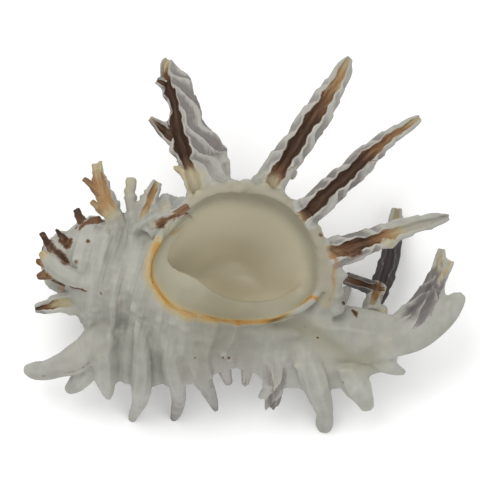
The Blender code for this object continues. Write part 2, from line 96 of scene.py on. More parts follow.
# Runs of (x, y, height, left, right), the widths in pixels to each edge, or one width for both. Tints are
# rows of (share along the run, dark, warm, grey, cream), where what is left out is 0.
lipSpines = dict(
    lipSpineA=dict(
        run=[(201, 216, 62, 10, 24), (199, 203, 65, 12, 34), (196, 190, 67, 9, 36), (192, 176, 69, 10, 39),
             (187, 163, 70, 7, 41), (184, 152, 71, 10, 38), (180, 140, 71, 14, 32), (177, 126, 70, 9, 26),
             (176, 114, 69, 5, 25), (174, 103, 68, 5, 22), (171, 93, 66, 7, 22), (167, 84, 64, 6, 23),
             (165, 76, 62, 4, 22), (165, 68, 60, 4, 19), (167, 62, 58, 5, 12), (169, 58, 57, 2, 4)],
        tints=[(0, 0, 0, 0, 0.4), (0.14, 0, 0.2, 0.1, 0.8), (0.26, 0.1, 0.3, 0.5, 0.8),
               (0.31, 0.7, 0.5, 0.7, 0.1), (0.38, 1, 0.2, 0.9), (0.8, 1, 0.15, 0.9), (0.9, 0.6, 0.5, 0.8),
               (1, 0, 0.3, 0.4)]),
    lipSpineB=dict(
        run=[(258, 206, 62, 12), (266, 193, 65, 18, 16), (272, 182, 67, 17, 14), (280, 170, 69, 16, 12),
             (288, 157, 70, 15, 14), (296, 144, 70, 12, 15), (305, 130, 69, 13, 14), (313, 118, 68, 12, 16),
             (322, 105, 66, 12, 14), (330, 93, 64, 11, 12), (337, 81, 61, 9, 10), (343, 70, 58, 8, 9),
             (347, 62, 56, 5), (351, 57, 54, 2)],
        tints=[(0, 0, 0.1, 0, 1), (0.14, 0.1, 0.5, 0.1, 0.6), (0.22, 0.7, 0.6, 0.4), (0.34, 1, 0.1, 0.7),
               (0.55, 0.95, 0.2, 0.7), (0.72, 0.6, 0.7, 0.5), (0.9, 0.1, 0.8, 0.3), (1, 0.05, 0.4, 0.1)]),
    lipSpineC=dict(
        run=[(292, 226, 61, 10, 12), (303, 216, 64, 14), (314, 206, 66, 13, 14), (326, 194, 67, 12, 14),
             (337, 184, 67, 12, 13), (349, 174, 66, 11, 12), (360, 163, 65, 11, 13), (371, 153, 63, 10),
             (382, 144, 61, 9, 8), (393, 135, 58, 7), (404, 128, 55, 6), (413, 122, 53, 5),
             (421, 117, 51, 2)],
        tints=[(0, 0, 0.1, 0, 1), (0.06, 0.2, 0.7, 0.1, 0.3), (0.13, 0.9, 0.3, 0.5), (0.3, 1, 0.1, 0.9),
               (0.55, 1, 0.2, 0.9), (0.68, 0.5, 0.9, 0.7), (0.85, 0.3, 0.9, 0.3), (1, 0.1, 0.5, 0.1)]),
    lipSpineD=dict(
        run=[(318, 256, 59, 10, 14), (335, 252, 61, 14, 15), (348, 248, 62, 13, 15), (361, 244, 62, 12, 13),
             (374, 240, 61, 12, 10), (387, 236, 60, 12), (398, 231, 58, 11, 8), (409, 228, 56, 9, 7),
             (421, 224, 54, 8, 6), (433, 221, 52, 7, 6), (443, 218, 50, 4), (450, 217, 48, 2, 3)],
        tints=[(0, 0.1, 0.5, 0.1, 0.7), (0.1, 0.4, 0.9, 0.5, 0.2), (0.2, 0.75, 0.9, 0.9),
               (0.34, 0.85, 0.9, 0.9), (0.5, 0.35, 1, 0.6), (0.6, 0.1, 0.7, 0.1, 0.2),
               (0.68, 0, 0.15, 0.1, 0.3), (0.9, 0, 0.0, 0.3, 0.1), (1, 0, 0.0, 0.7)]),
)
lipBranches = dict(
    branchALow=dict(
        run=[(184, 173, 68, 5), (179, 170, 68, 4), (173, 167, 67, 2)],
        tints=[(0, 0.2, 0.4, 0.5, 0.6), (0.5, 0.3, 0.5, 0.4, 0.3), (1, 0.3, 0.3, 0.3)]),
    branchAMid=dict(
        run=[(171, 136, 69, 7, 11), (163, 129, 68, 6, 8), (156, 123, 66, 4), (149, 118, 64, 2)],
        tints=[(0, 1, 0.2, 0.8), (0.6, 0.9, 0.2, 0.9), (1, 0.1, 0.2, 0.8)]),
    branchATop=dict(
        run=[(166, 85, 65, 4), (161, 82, 65, 4), (156, 80, 64, 2)],
        tints=[(0, 1, 0.2, 0.8), (1, 0.8, 0.4, 0.8)]),
    branchB=dict(
        run=[(288, 170, 67, 5), (294, 173, 66, 4), (291, 180, 65, 2)],
        tints=[(0, 0, 0, 0.7), (1, 0, 0, 0.4)]),
    branchC=dict(
        run=[(367, 166, 63, 4), (374, 168, 62, 3)],
        tints=[(0, 0, 0, 1.0), (1, 0, 0, 0.7)]),
    branchD=dict(
        run=[(385, 240, 60, 5), (394, 247, 58, 3)],
        tints=[(0, 0, 0.3, 0.2, 0.2), (1, 0, 0.3, 0.2, 0.2)]),
)
backSpines = dict(
    backSpineE=dict(
        run=[(366, 330, 36, 6), (374, 306, 28, 7), (382, 284, 22, 9), (389, 264, 17, 9), (392, 247, 14, 8),
             (395, 230, 11, 7), (397, 216, 9, 6), (398, 207, 8, 4)],
        tints=[(0, 0.1, 0.1, 1.2), (0.3, 0.25, 0, 1.6), (0.72, 0.25, 0, 1.5), (0.82, 0.1, 0.4, 0.6, 0.1),
               (1, 0.1, 0.5, 0.3, 0.1)]),
    backColumn=dict(
        run=[(366, 326, 38, 8), (371, 308, 35, 7), (377, 291, 33, 7), (381, 282, 32, 3)],
        tints=[(0, 0, 0, 0.2), (0.45, 0.1, 0.2, 0.4), (0.7, 0.5, 0.8, 0.5), (1, 0.6, 0.6, 0.9)]),
    backSpineF=dict(
        run=[(388, 290, 31, 3), (378, 288, 33, 5), (362, 284, 34, 6), (345, 278, 34, 5)],
        tints=[(0, 0.6, 0.7, 0.6), (0.2, 0.7, 0.2, 1.1), (0.5, 0.9, 0.1, 1.3), (1, 0.4, 0.1, 1.0)]),
    backLump=dict(
        run=[(366, 312, 37, 6), (380, 312, 36, 6), (388, 311, 36, 4)],
        tints=[(0, 0, 0.1, 0.1), (1, 0.2, 0.3, 0.4)]),
    canalSpineG=dict(
        run=[(392, 330, 38, 9), (408, 318, 41, 11, 12), (422, 304, 43, 11, 14), (432, 288, 44, 9, 13),
             (438, 270, 43, 6, 8), (440, 258, 41, 4, 5), (442, 248, 40, 2, 3)],
        tints=[(0,), (0.14, 0, 0, 0.2), (0.28, 0, 0, 1.0), (0.7, 0, 0, 1.1), (0.8, 0, 0.25, 0.9),
               (0.9, 0, 0.5, 0.3, 0.1), (1, 0, 0.4, 0.2, 0.1)]),
    canalBranchG=dict(
        run=[(436, 284, 43, 6), (446, 271, 42, 4), (451, 260, 41, 3)],
        tints=[(0, 0, 0, 1.1), (0.4, 0.3, 0.5, 0.5), (1, 0, 0.4, 0.2)]),
)
leftSpines = dict(
    shoulderSpineT=dict(
        run=[(121, 232, 52, 10), (113, 218, 54, 10, 12), (105, 205, 55, 8, 13), (101, 192, 55, 6, 11),
             (98, 178, 54, 6, 9), (97, 166, 52, 5, 6)],
        tints=[(0,), (0.22, 0, 0.15, 0.1, 0.1), (0.45, 0.15, 0.9, 0.5), (0.75, 0.3, 0.9, 0.8),
               (1, 0.3, 0.35, 0.7)]),
    shoulderBranchT=dict(
        run=[(100, 194, 55, 5), (93, 187, 53, 4), (83, 178, 51, 3)],
        tints=[(0, 0.4, 0.9, 0.4), (1, 0.5, 0.8, 0.5)]),
    shoulderBranchTipT=dict(
        run=[(96, 172, 53, 4), (93, 163, 52, 2)],
        tints=[(0, 0.3, 0.5, 0.6), (1, 0.1, 0.4, 0.4)]),
    shoulderBranchEndT=dict(
        run=[(98, 172, 53, 4), (101, 160, 52, 2)],
        tints=[(0, 0.3, 0.5, 0.6), (1, 0.1, 0.4, 0.4)]),
    shoulderLobeT=dict(
        run=[(106, 214, 53, 5), (98, 207, 52, 4), (91, 201, 51, 3)],
        tints=[(0, 0.1, 0.5, 0.2), (1, 0.3, 0.8, 0.3)]),
    shoulderSpineU=dict(
        run=[(134, 222, 52, 8), (131, 205, 53, 6), (130, 190, 52, 6), (131, 178, 50, 5)],
        tints=[(0,), (1, 0, 0.35)]),
    shoulderSpineV=dict(
        run=[(141, 226, 54, 9), (146, 210, 55, 8), (151, 196, 54, 7), (158, 181, 52, 4)],
        tints=[(0, 0, 0.1), (0.4, 0.2, 0.7, 0.1), (0.8, 0.3, 0.9, 0.2), (1, 0.1, 0.4, 0.3)]),
    shoulderLobeV=dict(run=[(148, 204, 54, 4), (143, 198, 53, 3), (140, 195, 52, 2)]),
    shoulderLobeW=dict(
        run=[(168, 226, 60, 9), (168, 214, 62, 8), (166, 206, 61, 5)],
        tints=[(0, 0, 0.1), (1, 0, 0.3, 0.1)]),
    shoulderFold=dict(
        run=[(152, 224, 58, 6), (166, 220, 62, 6), (181, 211, 65, 4)],
        tints=[(0, 0.3, 0.3, 0.3), (0.5, 0.7, 0.2, 0.9), (1, 0.6, 0.2, 0.9)]),
    spireTube=dict(
        run=[(96, 240, 46, 6), (84, 225, 47, 5), (75, 209, 46, 4)],
        tints=[(0, 0.1, 0.2, 0.2), (0.5, 0.7, 0.3, 0.8), (1, 1, 0.1, 1)]),
    spireFrill=dict(
        run=[(80, 232, 48, 4), (90, 222, 49, 4), (101, 219, 50, 4)],
        tints=[(0, 0.7, 0.5, 0.6), (0.5, 0.6, 0.7, 0.5), (1, 0.7, 0.6, 0.6)]),
    spireSpineHigh=dict(
        run=[(76, 250, 47, 6), (65, 240, 49, 4), (55, 229, 51, 2)],
        tints=[(0, 0.3, 0.2, 0.4), (0.5, 0.8, 0.3, 1), (1, 1, 0.2, 1)]),
    spireSpineFar=dict(
        run=[(70, 262, 44, 8), (56, 252, 45, 6), (47, 243, 45, 4), (41, 232, 45, 3)],
        tints=[(0, 0.2, 0.2, 0.5), (0.4, 0.8, 0.2, 0.9), (1, 1, 0.2, 1)]),
    apex=dict(
        run=[(80, 258, 42, 13), (66, 250, 42, 10), (54, 250, 41, 7), (42, 250, 41, 4)],
        tints=[(0, 0.1, 0.1, 0.2), (0.5, 0.6, 0.5, 0.8), (1, 0.9, 0.4, 1)]),
)
lowSpines = dict(
    hornS=dict(
        run=[(100, 286, 58, 9), (82, 282, 61, 10), (68, 276, 62, 9), (54, 266, 61, 9), (41, 252, 59, 4)],
        tints=[(0,), (0.8, 0, 0, 0.1), (1, 0.3, 0.6, 0.4)]),
    hornBranch=dict(
        run=[(60, 272, 60, 6), (48, 274, 57, 6), (37, 277, 55, 3)],
        tints=[(0, 0, 0.3), (0.5, 0.4, 0.9, 0.2), (1, 0.7, 0.9, 0.4)]),
    hornThorn=dict(
        run=[(56, 268, 60, 6), (46, 264, 58, 5), (36, 261, 56, 3)],
        tints=[(0, 0, 0.2), (0.6, 0.3, 0.9, 0.2), (1, 0.7, 0.9, 0.4)]),
    spireSpineR=dict(
        run=[(94, 304, 52, 12), (76, 303, 52, 12), (60, 303, 51, 9), (46, 307, 49, 6), (34, 309, 48, 3)],
        tints=[(0,), (0.4, 0.1, 0.3, 0.2), (0.7, 0.4, 0.5, 0.4), (0.88, 0.8, 0.3, 0.6), (1, 1, 0.1, 0.8)]),
    lowSpineQ=dict(
        run=[(112, 330, 50, 15), (94, 346, 44, 17), (76, 359, 37, 15), (60, 366, 30, 12), (44, 371, 24, 10),
             (33, 371, 20, 9), (24, 370, 17, 5)],
        tints=[(0,), (0.5, 0, 0, 0.35), (1, 0, 0, 0.15)]),
    lowSpineP=dict(
        run=[(104, 350, 42, 12), (88, 371, 33, 11), (76, 384, 25, 9), (67, 391, 20, 5)],
        tints=[(0,), (1, 0, 0, 0.2)]),
    lowSpineO=dict(
        run=[(106, 326, 52, 6), (105, 352, 46, 11), (105, 376, 37, 11), (107, 391, 28, 7),
             (108, 399, 22, 3)],
        tints=[(0,), (1, 0, 0, 0.2)]),
    lowSpineN=dict(
        run=[(141, 322, 60, 6), (141, 348, 54, 8), (142, 372, 46, 10), (141, 391, 34, 10),
             (138, 404, 20, 8, 7), (133, 414, 8, 6, 5), (130, 422, -3, 4, 3)],
        tints=[(0,), (0.6, 0, 0, 0.05), (0.78, 0, 0, 1.0), (0.86, 0, 0, 0.4), (1, 0, 0, 0.2)]),
    lowSpineM=dict(
        run=[(164, 326, 60, 5), (168, 348, 54, 8), (173, 371, 46, 11), (178, 391, 34, 8), (178, 404, 20, 7),
             (175, 414, 8, 6, 5), (172, 421, -3, 4, 3)],
        tints=[(0,), (0.55, 0, 0, 0.15), (0.72, 0, 0, 1.0), (1, 0, 0, 1.08)]),
    lowSpineL=dict(
        run=[(188, 330, 59, 5), (191, 350, 52, 8), (198, 370, 44, 11), (207, 388, 32, 8), (212, 400, 22, 6),
             (216, 411, 14, 3)],
        tints=[(0,), (0.5, 0, 0, 0.3), (0.7, 0, 0, 0.95), (1, 0, 0, 1.05)]),
    lowSpineK=dict(
        run=[(220, 335, 58, 5), (222, 355, 50, 8), (225, 371, 41, 7), (229, 384, 34, 4)],
        tints=[(0,), (0.6, 0, 0, 0.5), (1, 0.2, 0.1, 1.1)]),
    lowSpineJ=dict(
        run=[(247, 335, 56, 5), (248, 355, 48, 7), (247, 371, 41, 6), (245, 385, 34, 4)],
        tints=[(0,), (0.6, 0, 0, 0.5), (1, 0.1, 0.1, 1.0)]),
    lowSpineI=dict(
        run=[(268, 334, 55, 5), (272, 356, 48, 8), (274, 378, 39, 11), (273, 396, 28, 8),
             (270, 410, 17, 4)],
        tints=[(0,), (0.5, 0, 0, 0.6, 0.1), (1, 0, 0.1, 0.9)]),
    lowBranchI=dict(run=[(272, 386, 34, 6), (266, 392, 29, 5), (260, 398, 25, 3)]),
    lowSpineH=dict(
        run=[(288, 322, 46, 6), (298, 342, 47, 9), (307, 362, 44, 12), (315, 380, 37, 13, 14),
             (321, 396, 27, 11, 13), (325, 412, 15, 9), (325, 424, 5, 9), (325, 430, -2, 7)]),
    canalSpineX=dict(
        run=[(346, 362, 38, 14), (356, 384, 30, 15, 14), (364, 398, 23, 10), (368, 409, 18, 7, 6)]),
    canalTipLeft=dict(run=[(447, 310, 43, 7), (450, 303, 44, 5), (451, 297, 44, 2)]),
    canalTipRight=dict(run=[(456, 308, 44, 6), (461, 300, 44, 5), (464, 295, 44, 3)]),
    canalSpineY=dict(run=[(368, 350, 39, 12), (384, 362, 34, 11), (396, 370, 30, 6), (405, 373, 27, 3)]),
)
restSpines = dict(
    restSpineA=dict(run=[(112, 264, 24, 10), (109, 254, 12, 8), (106, 246, 3, 6), (104, 242, -3, 5)]),
    restSpineB=dict(run=[(150, 272, 16, 12), (149, 262, 8, 9), (147, 254, 1, 6), (146, 250, -4, 5)]),
    restSpineC=dict(run=[(195, 280, 18, 12), (194, 268, 9, 9), (193, 258, 1, 6), (192, 253, -4, 5)]),
    restSpineD=dict(run=[(240, 286, 22, 12), (242, 272, 12, 9), (244, 260, 3, 6), (246, 253, -4, 5)]),
    restSpineE=dict(run=[(288, 300, 30, 11), (292, 286, 17, 8), (296, 274, 5, 6), (299, 266, -4, 5)]),
    restSpineF=dict(run=[(330, 320, 36, 10), (338, 306, 21, 8), (345, 295, 7, 6), (349, 287, -4, 5)]),
)
coreProfile = [
    (6, 7), (22, 16), (40, 26), (55, 29), (70, 28.5), (85, 25), (100, 19.5), (112, 15), (124, 11),
]
rimOutline = [
    (153, 258, 67), (151, 274, 67), (158, 290, 67), (170, 303, 67), (188, 312, 66), (211, 317, 65),
    (235, 320, 64), (258, 320, 63), (279, 316, 61), (296, 308, 59), (309, 298, 58), (317, 285, 60),
    (319, 268, 63), (316, 251, 65), (310, 236, 67), (301, 222, 68), (288, 208, 69), (271, 199, 70),
    (252, 194, 70), (233, 193, 70), (214, 196, 70), (197, 205, 69), (180, 221, 68), (164, 239, 67),
]
throatOutline = [
    (167, 256, 63), (173, 266, 62), (185, 272, 61), (199, 279, 61), (211, 288, 61), (225, 295, 60),
    (240, 299, 59), (257, 300, 58), (274, 298, 57), (288, 293, 55), (299, 286, 54), (306, 276, 55),
    (308, 262, 57), (306, 249, 59), (301, 236, 60), (293, 225, 61), (281, 214, 62), (266, 206, 63),
    (250, 202, 64), (233, 201, 64), (216, 204, 64), (201, 212, 64), (186, 225, 64), (173, 241, 64),
]
# Below the throat: size against the throat's, shift in x and y, and share of the way down to the floor
cavityLevels = [
    (0.96, -2, 6, 0.12), (0.86, -5, 14, 0.35), (0.72, -8, 19, 0.58), (0.55, -9, 20, 0.78),
    (0.36, -9, 18, 0.92), (0.16, -8, 17, 1.0),
]
cavityFloor = 30.0
backVarix = [
    (92, 262, 28, 10), (120, 264, 16, 12), (150, 268, 12, 13), (195, 276, 14, 13), (240, 284, 19, 13),
    (285, 298, 27, 12), (330, 318, 35, 11), (368, 326, 38, 10),
]
lipEdge = [
    (150, 236, 60, 8), (160, 223, 63, 7), (176, 214, 66, 6), (196, 201, 68, 7), (215, 190, 69, 8),
    (240, 188, 69, 8), (262, 191, 69, 8), (284, 202, 68, 8), (302, 217, 67, 8), (316, 236, 65, 8),
    (326, 255, 62, 9), (334, 275, 59, 10), (332, 294, 55, 11), (332, 312, 49, 12),
]
rimPath = [
    (168, 230, 68), (156, 247, 68), (150, 264, 68), (151, 278, 68), (158, 292, 68), (169, 304, 67.5),
    (187, 314, 66.5), (211, 319, 65.5), (235, 322, 64.5), (258, 322, 63), (279, 318, 61), (296, 310, 59),
    (311, 299, 58),
]
canalPath = [
    (285, 325, 42, 22), (315, 330, 42, 26, 27), (345, 333, 41, 28, 29), (372, 335, 40, 25, 28),
    (395, 334, 39, 19, 24), (415, 332, 39, 16, 20), (432, 323, 40, 15, 17), (446, 311, 42, 13, 15),
    (454, 303, 43, 10, 12), (460, 297, 44, 7, 8), (463, 294, 44, 4, 5),
]
lowVarix = [
    (84, 348, 41, 14, 24), (96, 351, 43, 18, 38), (130, 350, 48, 26, 46), (160, 350, 51, 30, 47),
    (184, 350, 53, 34, 44), (205, 350, 53, 34, 41), (222, 350, 53, 34, 27), (240, 350, 52, 34, 25),
    (258, 350, 50, 34, 29), (275, 350, 48, 34, 46), (298, 350, 46, 32, 50), (320, 350, 45, 30, 51),
    (345, 350, 43, 28, 50), (363, 350, 42, 24, 41), (380, 348, 40, 20, 32), (396, 344, 39, 14, 22),
]
# The smooth corner where the inner lip meets the outer one
lipCorner = [(292, 322, 48, 8), (308, 311, 52, 10), (322, 300, 54, 10), (330, 287, 56, 7)]
# Where the ochre edge of the inner lip runs
rimColour = [
    (158, 243, 67.5), (153, 255, 67.5), (151, 268, 67.5), (152, 279, 67.5), (158, 291, 67.5),
    (169, 304, 67), (187, 314, 66), (211, 319, 65), (235, 322, 64), (258, 322, 62.5), (279, 318, 60.5),
    (296, 310, 58.5), (306, 302, 58), (312, 297, 58.5), (319, 300, 58.5), (327, 306, 57),
]
bareTint = [(0,)]  # for a spine without stains
# Spines outside the lip that are folded too, and those without scales
foldedSpines = ["shoulderSpineV", "lowSpineI", "branchAMid", "branchATop", "spireSpineR"]
smoothSpines = ["hornS", "apex"]
# Small knobs and lumps that sit on the surface: x, y, radius in pixels, how far they stand out in mm
knobs = [
    (233, 197, 7, 1.2), (238, 205, 4, 0.9), (285, 200, 7, 1.2), (292, 207, 5, 1.0), (300, 214, 5, 0.8),
    (321, 235, 4, 1.2), (316, 229, 4, 0.8), (134, 308, 6, 1.6), (143, 316, 5, 1.2), (105, 289, 5, 1.5),
    (101, 297, 4, 1.0), (120, 300, 5, 1.3), (112, 305, 4, 0.9), (223, 355, 4, 1.6), (229, 359, 4, 1.4),
    (284, 360, 5, 1.4), (288, 365, 4, 1.2), (297, 366, 5, 1.4), (298, 334, 6, 1.0), (160, 318, 5, 1.0),
    (172, 324, 5, 1.2), (186, 330, 4, 1.0), (75, 320, 5, 1.6), (83, 316, 5, 1.2), (77, 262, 5, 1.6),
    (163, 231, 4, 1.0), (172, 232, 4, 1.2), (180, 228, 4, 1.0), (184, 224, 3, 0.8), (126, 237, 7, 0.4),
    (120, 236, 5, 1.2), (133, 240, 5, 1.0), (148, 232, 4, 1.0), (106, 300, 4, 0.8), (128, 290, 5, 0.9),
    (216, 145, 5, 1.4), (221, 150, 5, 1.0), (224, 162, 5, 1.0), (232, 181, 4, 0.8), (240, 180, 4, 0.6),
    (246, 186, 4, 0.5), (253, 184, 4, 0.4), (340, 262, 4, 0.7), (341, 274, 4, 0.7), (340, 286, 4, 0.7),
    (337, 297, 4, 1.0), (344, 303, 4, 1.2), (353, 310, 4, 1.2), (345, 275, 5, 1.4), (384, 311, 5, 1.0),
    (62, 240, 4, 1.4), (66, 250, 4, 1.2), (88, 228, 4, 1.2), (98, 224, 4, 1.2), (198, 340, 4, 0.8),
    (244, 345, 4, 0.9), (262, 350, 4, 0.9), (310, 352, 4, 0.7), (96, 310, 4, 1.2), (89, 322, 4, 1.0),
]


def place(x, y, height):
    perPixel = scale["perPixel"]
    return Vector(((x - scale["middle"][0]) * perPixel, (scale["middle"][1] - y) * perPixel, height))


def roundAxis(distance, radius, angle):
    # a point at a distance down the coiling axis, at an angle from +Y towards +Z
    start = place(*whorlShape["axisStart"], whorlShape["axisHeight"])
    return start + downAxis * distance + (acrossAxis * math.cos(angle) + up * math.sin(angle)) * radius


def between(a, b, c, d, t):
    # a Catmull-Rom curve from b to c
    bend = (2 * a - 5 * b + 4 * c - d) * t * t + (3 * b - a - 3 * c + d) * t ** 3
    return 0.5 * (2 * b + (c - a) * t + bend)


def smoothRows(rows, counts):
    # puts rows on a curve through the given ones, a count of them for each gap
    padded = np.vstack([2 * rows[0] - rows[1], rows, 2 * rows[-1] - rows[-2]])
    out = []
    for i, count in enumerate(counts):
        out += [between(*padded[i:i + 4], k / count) for k in range(count)]
    return np.array(out + [rows[-1]])


def smoothRun(stations, step):
    rows = np.array(stations, dtype=float)
    gaps = [float(np.linalg.norm(b[:2] - a[:2])) * scale["perPixel"] for a, b in zip(rows, rows[1:])]
    return smoothRows(rows, [max(1, round(gap / step)) for gap in gaps])


def smoothPairs(pairs, pieces):
    rows = np.array(pairs, dtype=float)
    return smoothRows(rows, [pieces] * (len(rows) - 1))


def smoothLoop(points, count):
    # a closed outline through the points, with count points in all
    rows = np.array(points, dtype=float)
    total = len(rows)
    out = []
    for k in range(count):
        spot = k * total / count
        i = int(spot)
        out.append(between(*(rows[(i + shift) % total] for shift in (-1, 0, 1, 2)), spot - i))
    return np.array(out)


def fullRow(row):
    return row if len(row) == 5 else (*row, row[3])


ovalShape = dict(points=28, ribs=7, rib=0.07, flatness=0.8)
canalShape = dict(points=40, above=0.5, below=0.62)
grooveShape = dict(
    points=41,
    flange=1.2,  # thickness at the edge
    spread=0.6,  # a thin edge that the fusing wears away
    frill=0.9,  # how far the scales stand out along the edges
    frillPitch=11.0,
    scaleLift=1.3,  # how far each scale's far end curls up
    scaleSlant=0.16,  # how far a scale's edge runs back on its way out, in pitches for each mm
    rib=0.10,
    ribPitch=1.5,
    rightOffset=0.45,  # how far the right side's scales lie behind the left ones
)


def ovalSection(left, right, turns):
    # a round spine with fine ribs along it
    look = ovalShape
    width = (left + right) / 2
    middle = (right - left) / 2
    ring = []
    for k in range(look["points"]):
        turn = math.tau * k / look["points"]
        rib = 1.0 + look["rib"] * math.cos(look["ribs"] * turn + 0.8 * math.sin(turns * 2.0))
        ring.append((middle + width * rib * math.cos(turn), look["flatness"] * width * rib * math.sin(turn)))
    return ring


def canalSection(left, right, turns):
    look = canalShape
    width = (left + right) / 2
    middle = (right - left) / 2
    ring = []
    for k in range(look["points"]):
        turn = math.tau * k / look["points"]
        rise = look["above"] if math.sin(turn) > 0 else look["below"]
        ring.append((middle + width * math.cos(turn), rise * width * math.sin(turn)))
    return ring


def alongSides(corners, pieces):
    # points along the straight sides between the corners, without the last corner
    points = []
    for (a0, b0), (a1, b1) in zip(corners, corners[1:]):
        points += [(a0 + (a1 - a0) * k / pieces, b0 + (b1 - b0) * k / pieces) for k in range(pieces)]
    return points


def varixSection(left, right, turns):
    # a leaning sheet, thick where it leaves the whorl and thin at its outer edge
    top = [(-left, 0.5), (0.0, 1.6), (0.6 * right, 1.0), (right, 0.0)]
    under = [(right, -2.2), (0.3 * right, -7.5), (-left, -7.0)]
    return alongSides(top + under + top[:1], 6)


def unevenTurns(turns):
    # scales of differing lengths
    return turns + 0.24 * np.sin(2.3 * turns + 0.6) + 0.1 * np.sin(5.7 * turns)


def channelSize(left, right):
    channel = min(2.6, 0.42 * (left + right) / 2)
    return channel, min(1.2 * channel, 0.8 * left, 0.8 * right), 1.6 + 0.16 * (left + right)


def channelEdges(ridge, turns):
    # the channel's two edges wander on their own
    left = 0.96 + 0.16 * math.sin(5.1 * turns) + 0.1 * math.sin(11.3 * turns + 1.0)
    right = 0.96 + 0.16 * math.sin(4.3 * turns + 2.0) + 0.1 * math.sin(12.7 * turns + 0.4)
    return ridge * left, ridge * right


def grooveSection(left, right, turns):
    # a spine folded from a sheet: a channel between two ridges, and overlapping scales beyond them
    look = grooveShape
    left += look["spread"]
    right += look["spread"]
    channel, ridge, body = channelSize(left, right)
    nearLeft, nearRight = channelEdges(ridge, turns)
    knots = [-left, -0.72 * left - 0.28 * nearLeft, -nearLeft, -0.4 * channel, 0.4 * channel, nearRight,
             0.72 * right + 0.28 * nearRight, right]
    heights = [-0.2, 0.2, 1.0, -0.4 * body, -0.4 * body, 1.0, 0.2, -0.2]
    top = []
    for k in range(look["points"]):
        a = -left + (left + right) * k / (look["points"] - 1)
        b = float(np.interp(a, knots, heights))
        edge = -a / left if a < 0 else a / right
        offset = 0.0 if a < 0 else look["rightOffset"]
        phase = (unevenTurns(turns) + offset + look["scaleSlant"] * abs(a)) % 1.0
        b += look["scaleLift"] * (phase ** 1.5 - 0.4) * max(0.0, min(1.0, 2.2 * edge - 0.5))
        b += look["rib"] * math.cos(math.tau * a / look["ribPitch"])
        top.append((a, b))
    flange = look["flange"]
    below = [(right, -flange - 0.2), (0.35 * right, -body), (-0.35 * left, -body), (-left, -flange - 0.2)]
    return top + alongSides(below, 5) + [below[-1]]


def scales(turns):
    return unevenTurns(turns) % 1.0 - 0.5


def ripples(turns):
    return np.cos(math.tau * turns)


def frills(rows, depth, pitch, edge):
    # widens the rows in turn, so that both edges carry scales or ripples, and gives the mm along them
    perPixel = scale["perPixel"]
    steps = np.linalg.norm(np.diff(rows[:, :2], axis=0), axis=1) * perPixel
    along = np.concatenate([[0.0], np.cumsum(steps)])
    for side, offset in ((3, 0.0), (4, grooveShape["rightOffset"])):
        slim = np.minimum(1.0, rows[:, side] / 8.0)
        rows[:, side] += edge(along / pitch + offset) * depth / perPixel * slim
    return along


def addRings(shape, rings):
    # one closed body made of rings with equally many points
    body = bmesh.new()
    rows = [[body.verts.new(point) for point in ring] for ring in rings]
    count = len(rings[0])
    for low, high in zip(rows, rows[1:]):
        for k in range(count):
            body.faces.new((low[k], low[(k + 1) % count], high[(k + 1) % count], high[k]))
    body.faces.new(rows[0])
    body.faces.new(rows[-1])
    bmesh.ops.recalc_face_normals(body, faces=body.faces)
    part = bpy.data.meshes.new("part")
    body.to_mesh(part)
    body.free()
    shape.from_mesh(part)
    bpy.data.meshes.remove(part)


# Every row of a tinted run: centre, sideways, faceways, left, right, channel's edges, mm along it,
# uneven turns, whether it is folded, how far it shows, tints
runRows = []


def sweep(shape, run, section, facing=up, depth=0.0, pitch=8.0, edge=ripples, tints=None, hidden=0.12):
    # carries a section along a run, closes both ends and keeps the rows of a tinted run for painting
    perPixel = scale["perPixel"]
    rows = smoothRun([fullRow(row) for row in run], meshing["step"])
    along = frills(rows, depth, pitch, edge)
    centres = [place(row[0], row[1], row[2]) for row in rows]
    rings = []
    for i, row in enumerate(rows):
        ahead = centres[min(i + 1, len(rows) - 1)] - centres[max(i - 1, 0)]
        ahead.normalize()
        side = ahead.cross(facing).normalized()
        face = side.cross(ahead)
        left = max(row[3] * perPixel, meshing["thinnest"])
        right = max(row[4] * perPixel, meshing["thinnest"])
        turns = along[i] / pitch
        rings.append([centres[i] + side * a + face * b for a, b in section(left, right, turns)])
        if tints:
            share = along[i] / along[-1]
            folded = section is grooveSection
            edges = (0.47 * (left + right),) * 2
            if folded:
                edges = channelEdges(channelSize(left, right)[1], turns)
            shown = float(ease(share, 0.25 * hidden, hidden)) if hidden else 1.0
            table = np.array([(*tint, *[0] * (5 - len(tint))) for tint in tints]).T
            shades = [float(np.interp(share, table[0], column)) for column in table[1:]]
            marks = (along[i], unevenTurns(turns), float(folded), shown)
            runRows.append((centres[i], side, face, left, right, *edges, *marks, *shades))
    addRings(shape, rings)


def whorls(shape):
    look = whorlShape
    rings = []
    for i in range(meshing["whorlRings"] + 1):
        turns = look["turns"] * (i / meshing["whorlRings"] - 1)
        angle = math.radians(look["lipAngle"]) + math.tau * turns
        outer = look["radius"] * look["radiusRatio"] ** -turns
        halfHeight = look["halfHeight"] * look["heightRatio"] ** -turns
        distance = look["start"] + look["travel"] * look["travelRatio"] ** -turns
        cord = look["cord"] * outer / look["radius"]
        varix = max(0.0, math.cos(math.tau * look["varices"] * turns)) ** 6
        nodule = max(0.0, math.cos(math.tau * look["nodules"] * turns)) ** 2
        fold = (look["varix"] * varix + look["nodule"] * nodule) * outer / look["radius"]
        ring = []
        for k in range(meshing["whorlPoints"]):
            turn = math.tau * k / meshing["whorlPoints"]
            wave = math.cos(look["cords"] * turn * 2)
            fine = look["fineCord"] * math.cos(look["cords"] * turn * 6)
            swell = (fold + cord * (wave + fine)) * max(0.0, math.cos(turn))
            radius = look["inner"] * outer + (look["outer"] * outer + swell) * math.cos(turn)
            ring.append(roundAxis(distance + halfHeight * math.sin(turn), radius, angle))
        rings.append(ring)
    addRings(shape, rings)


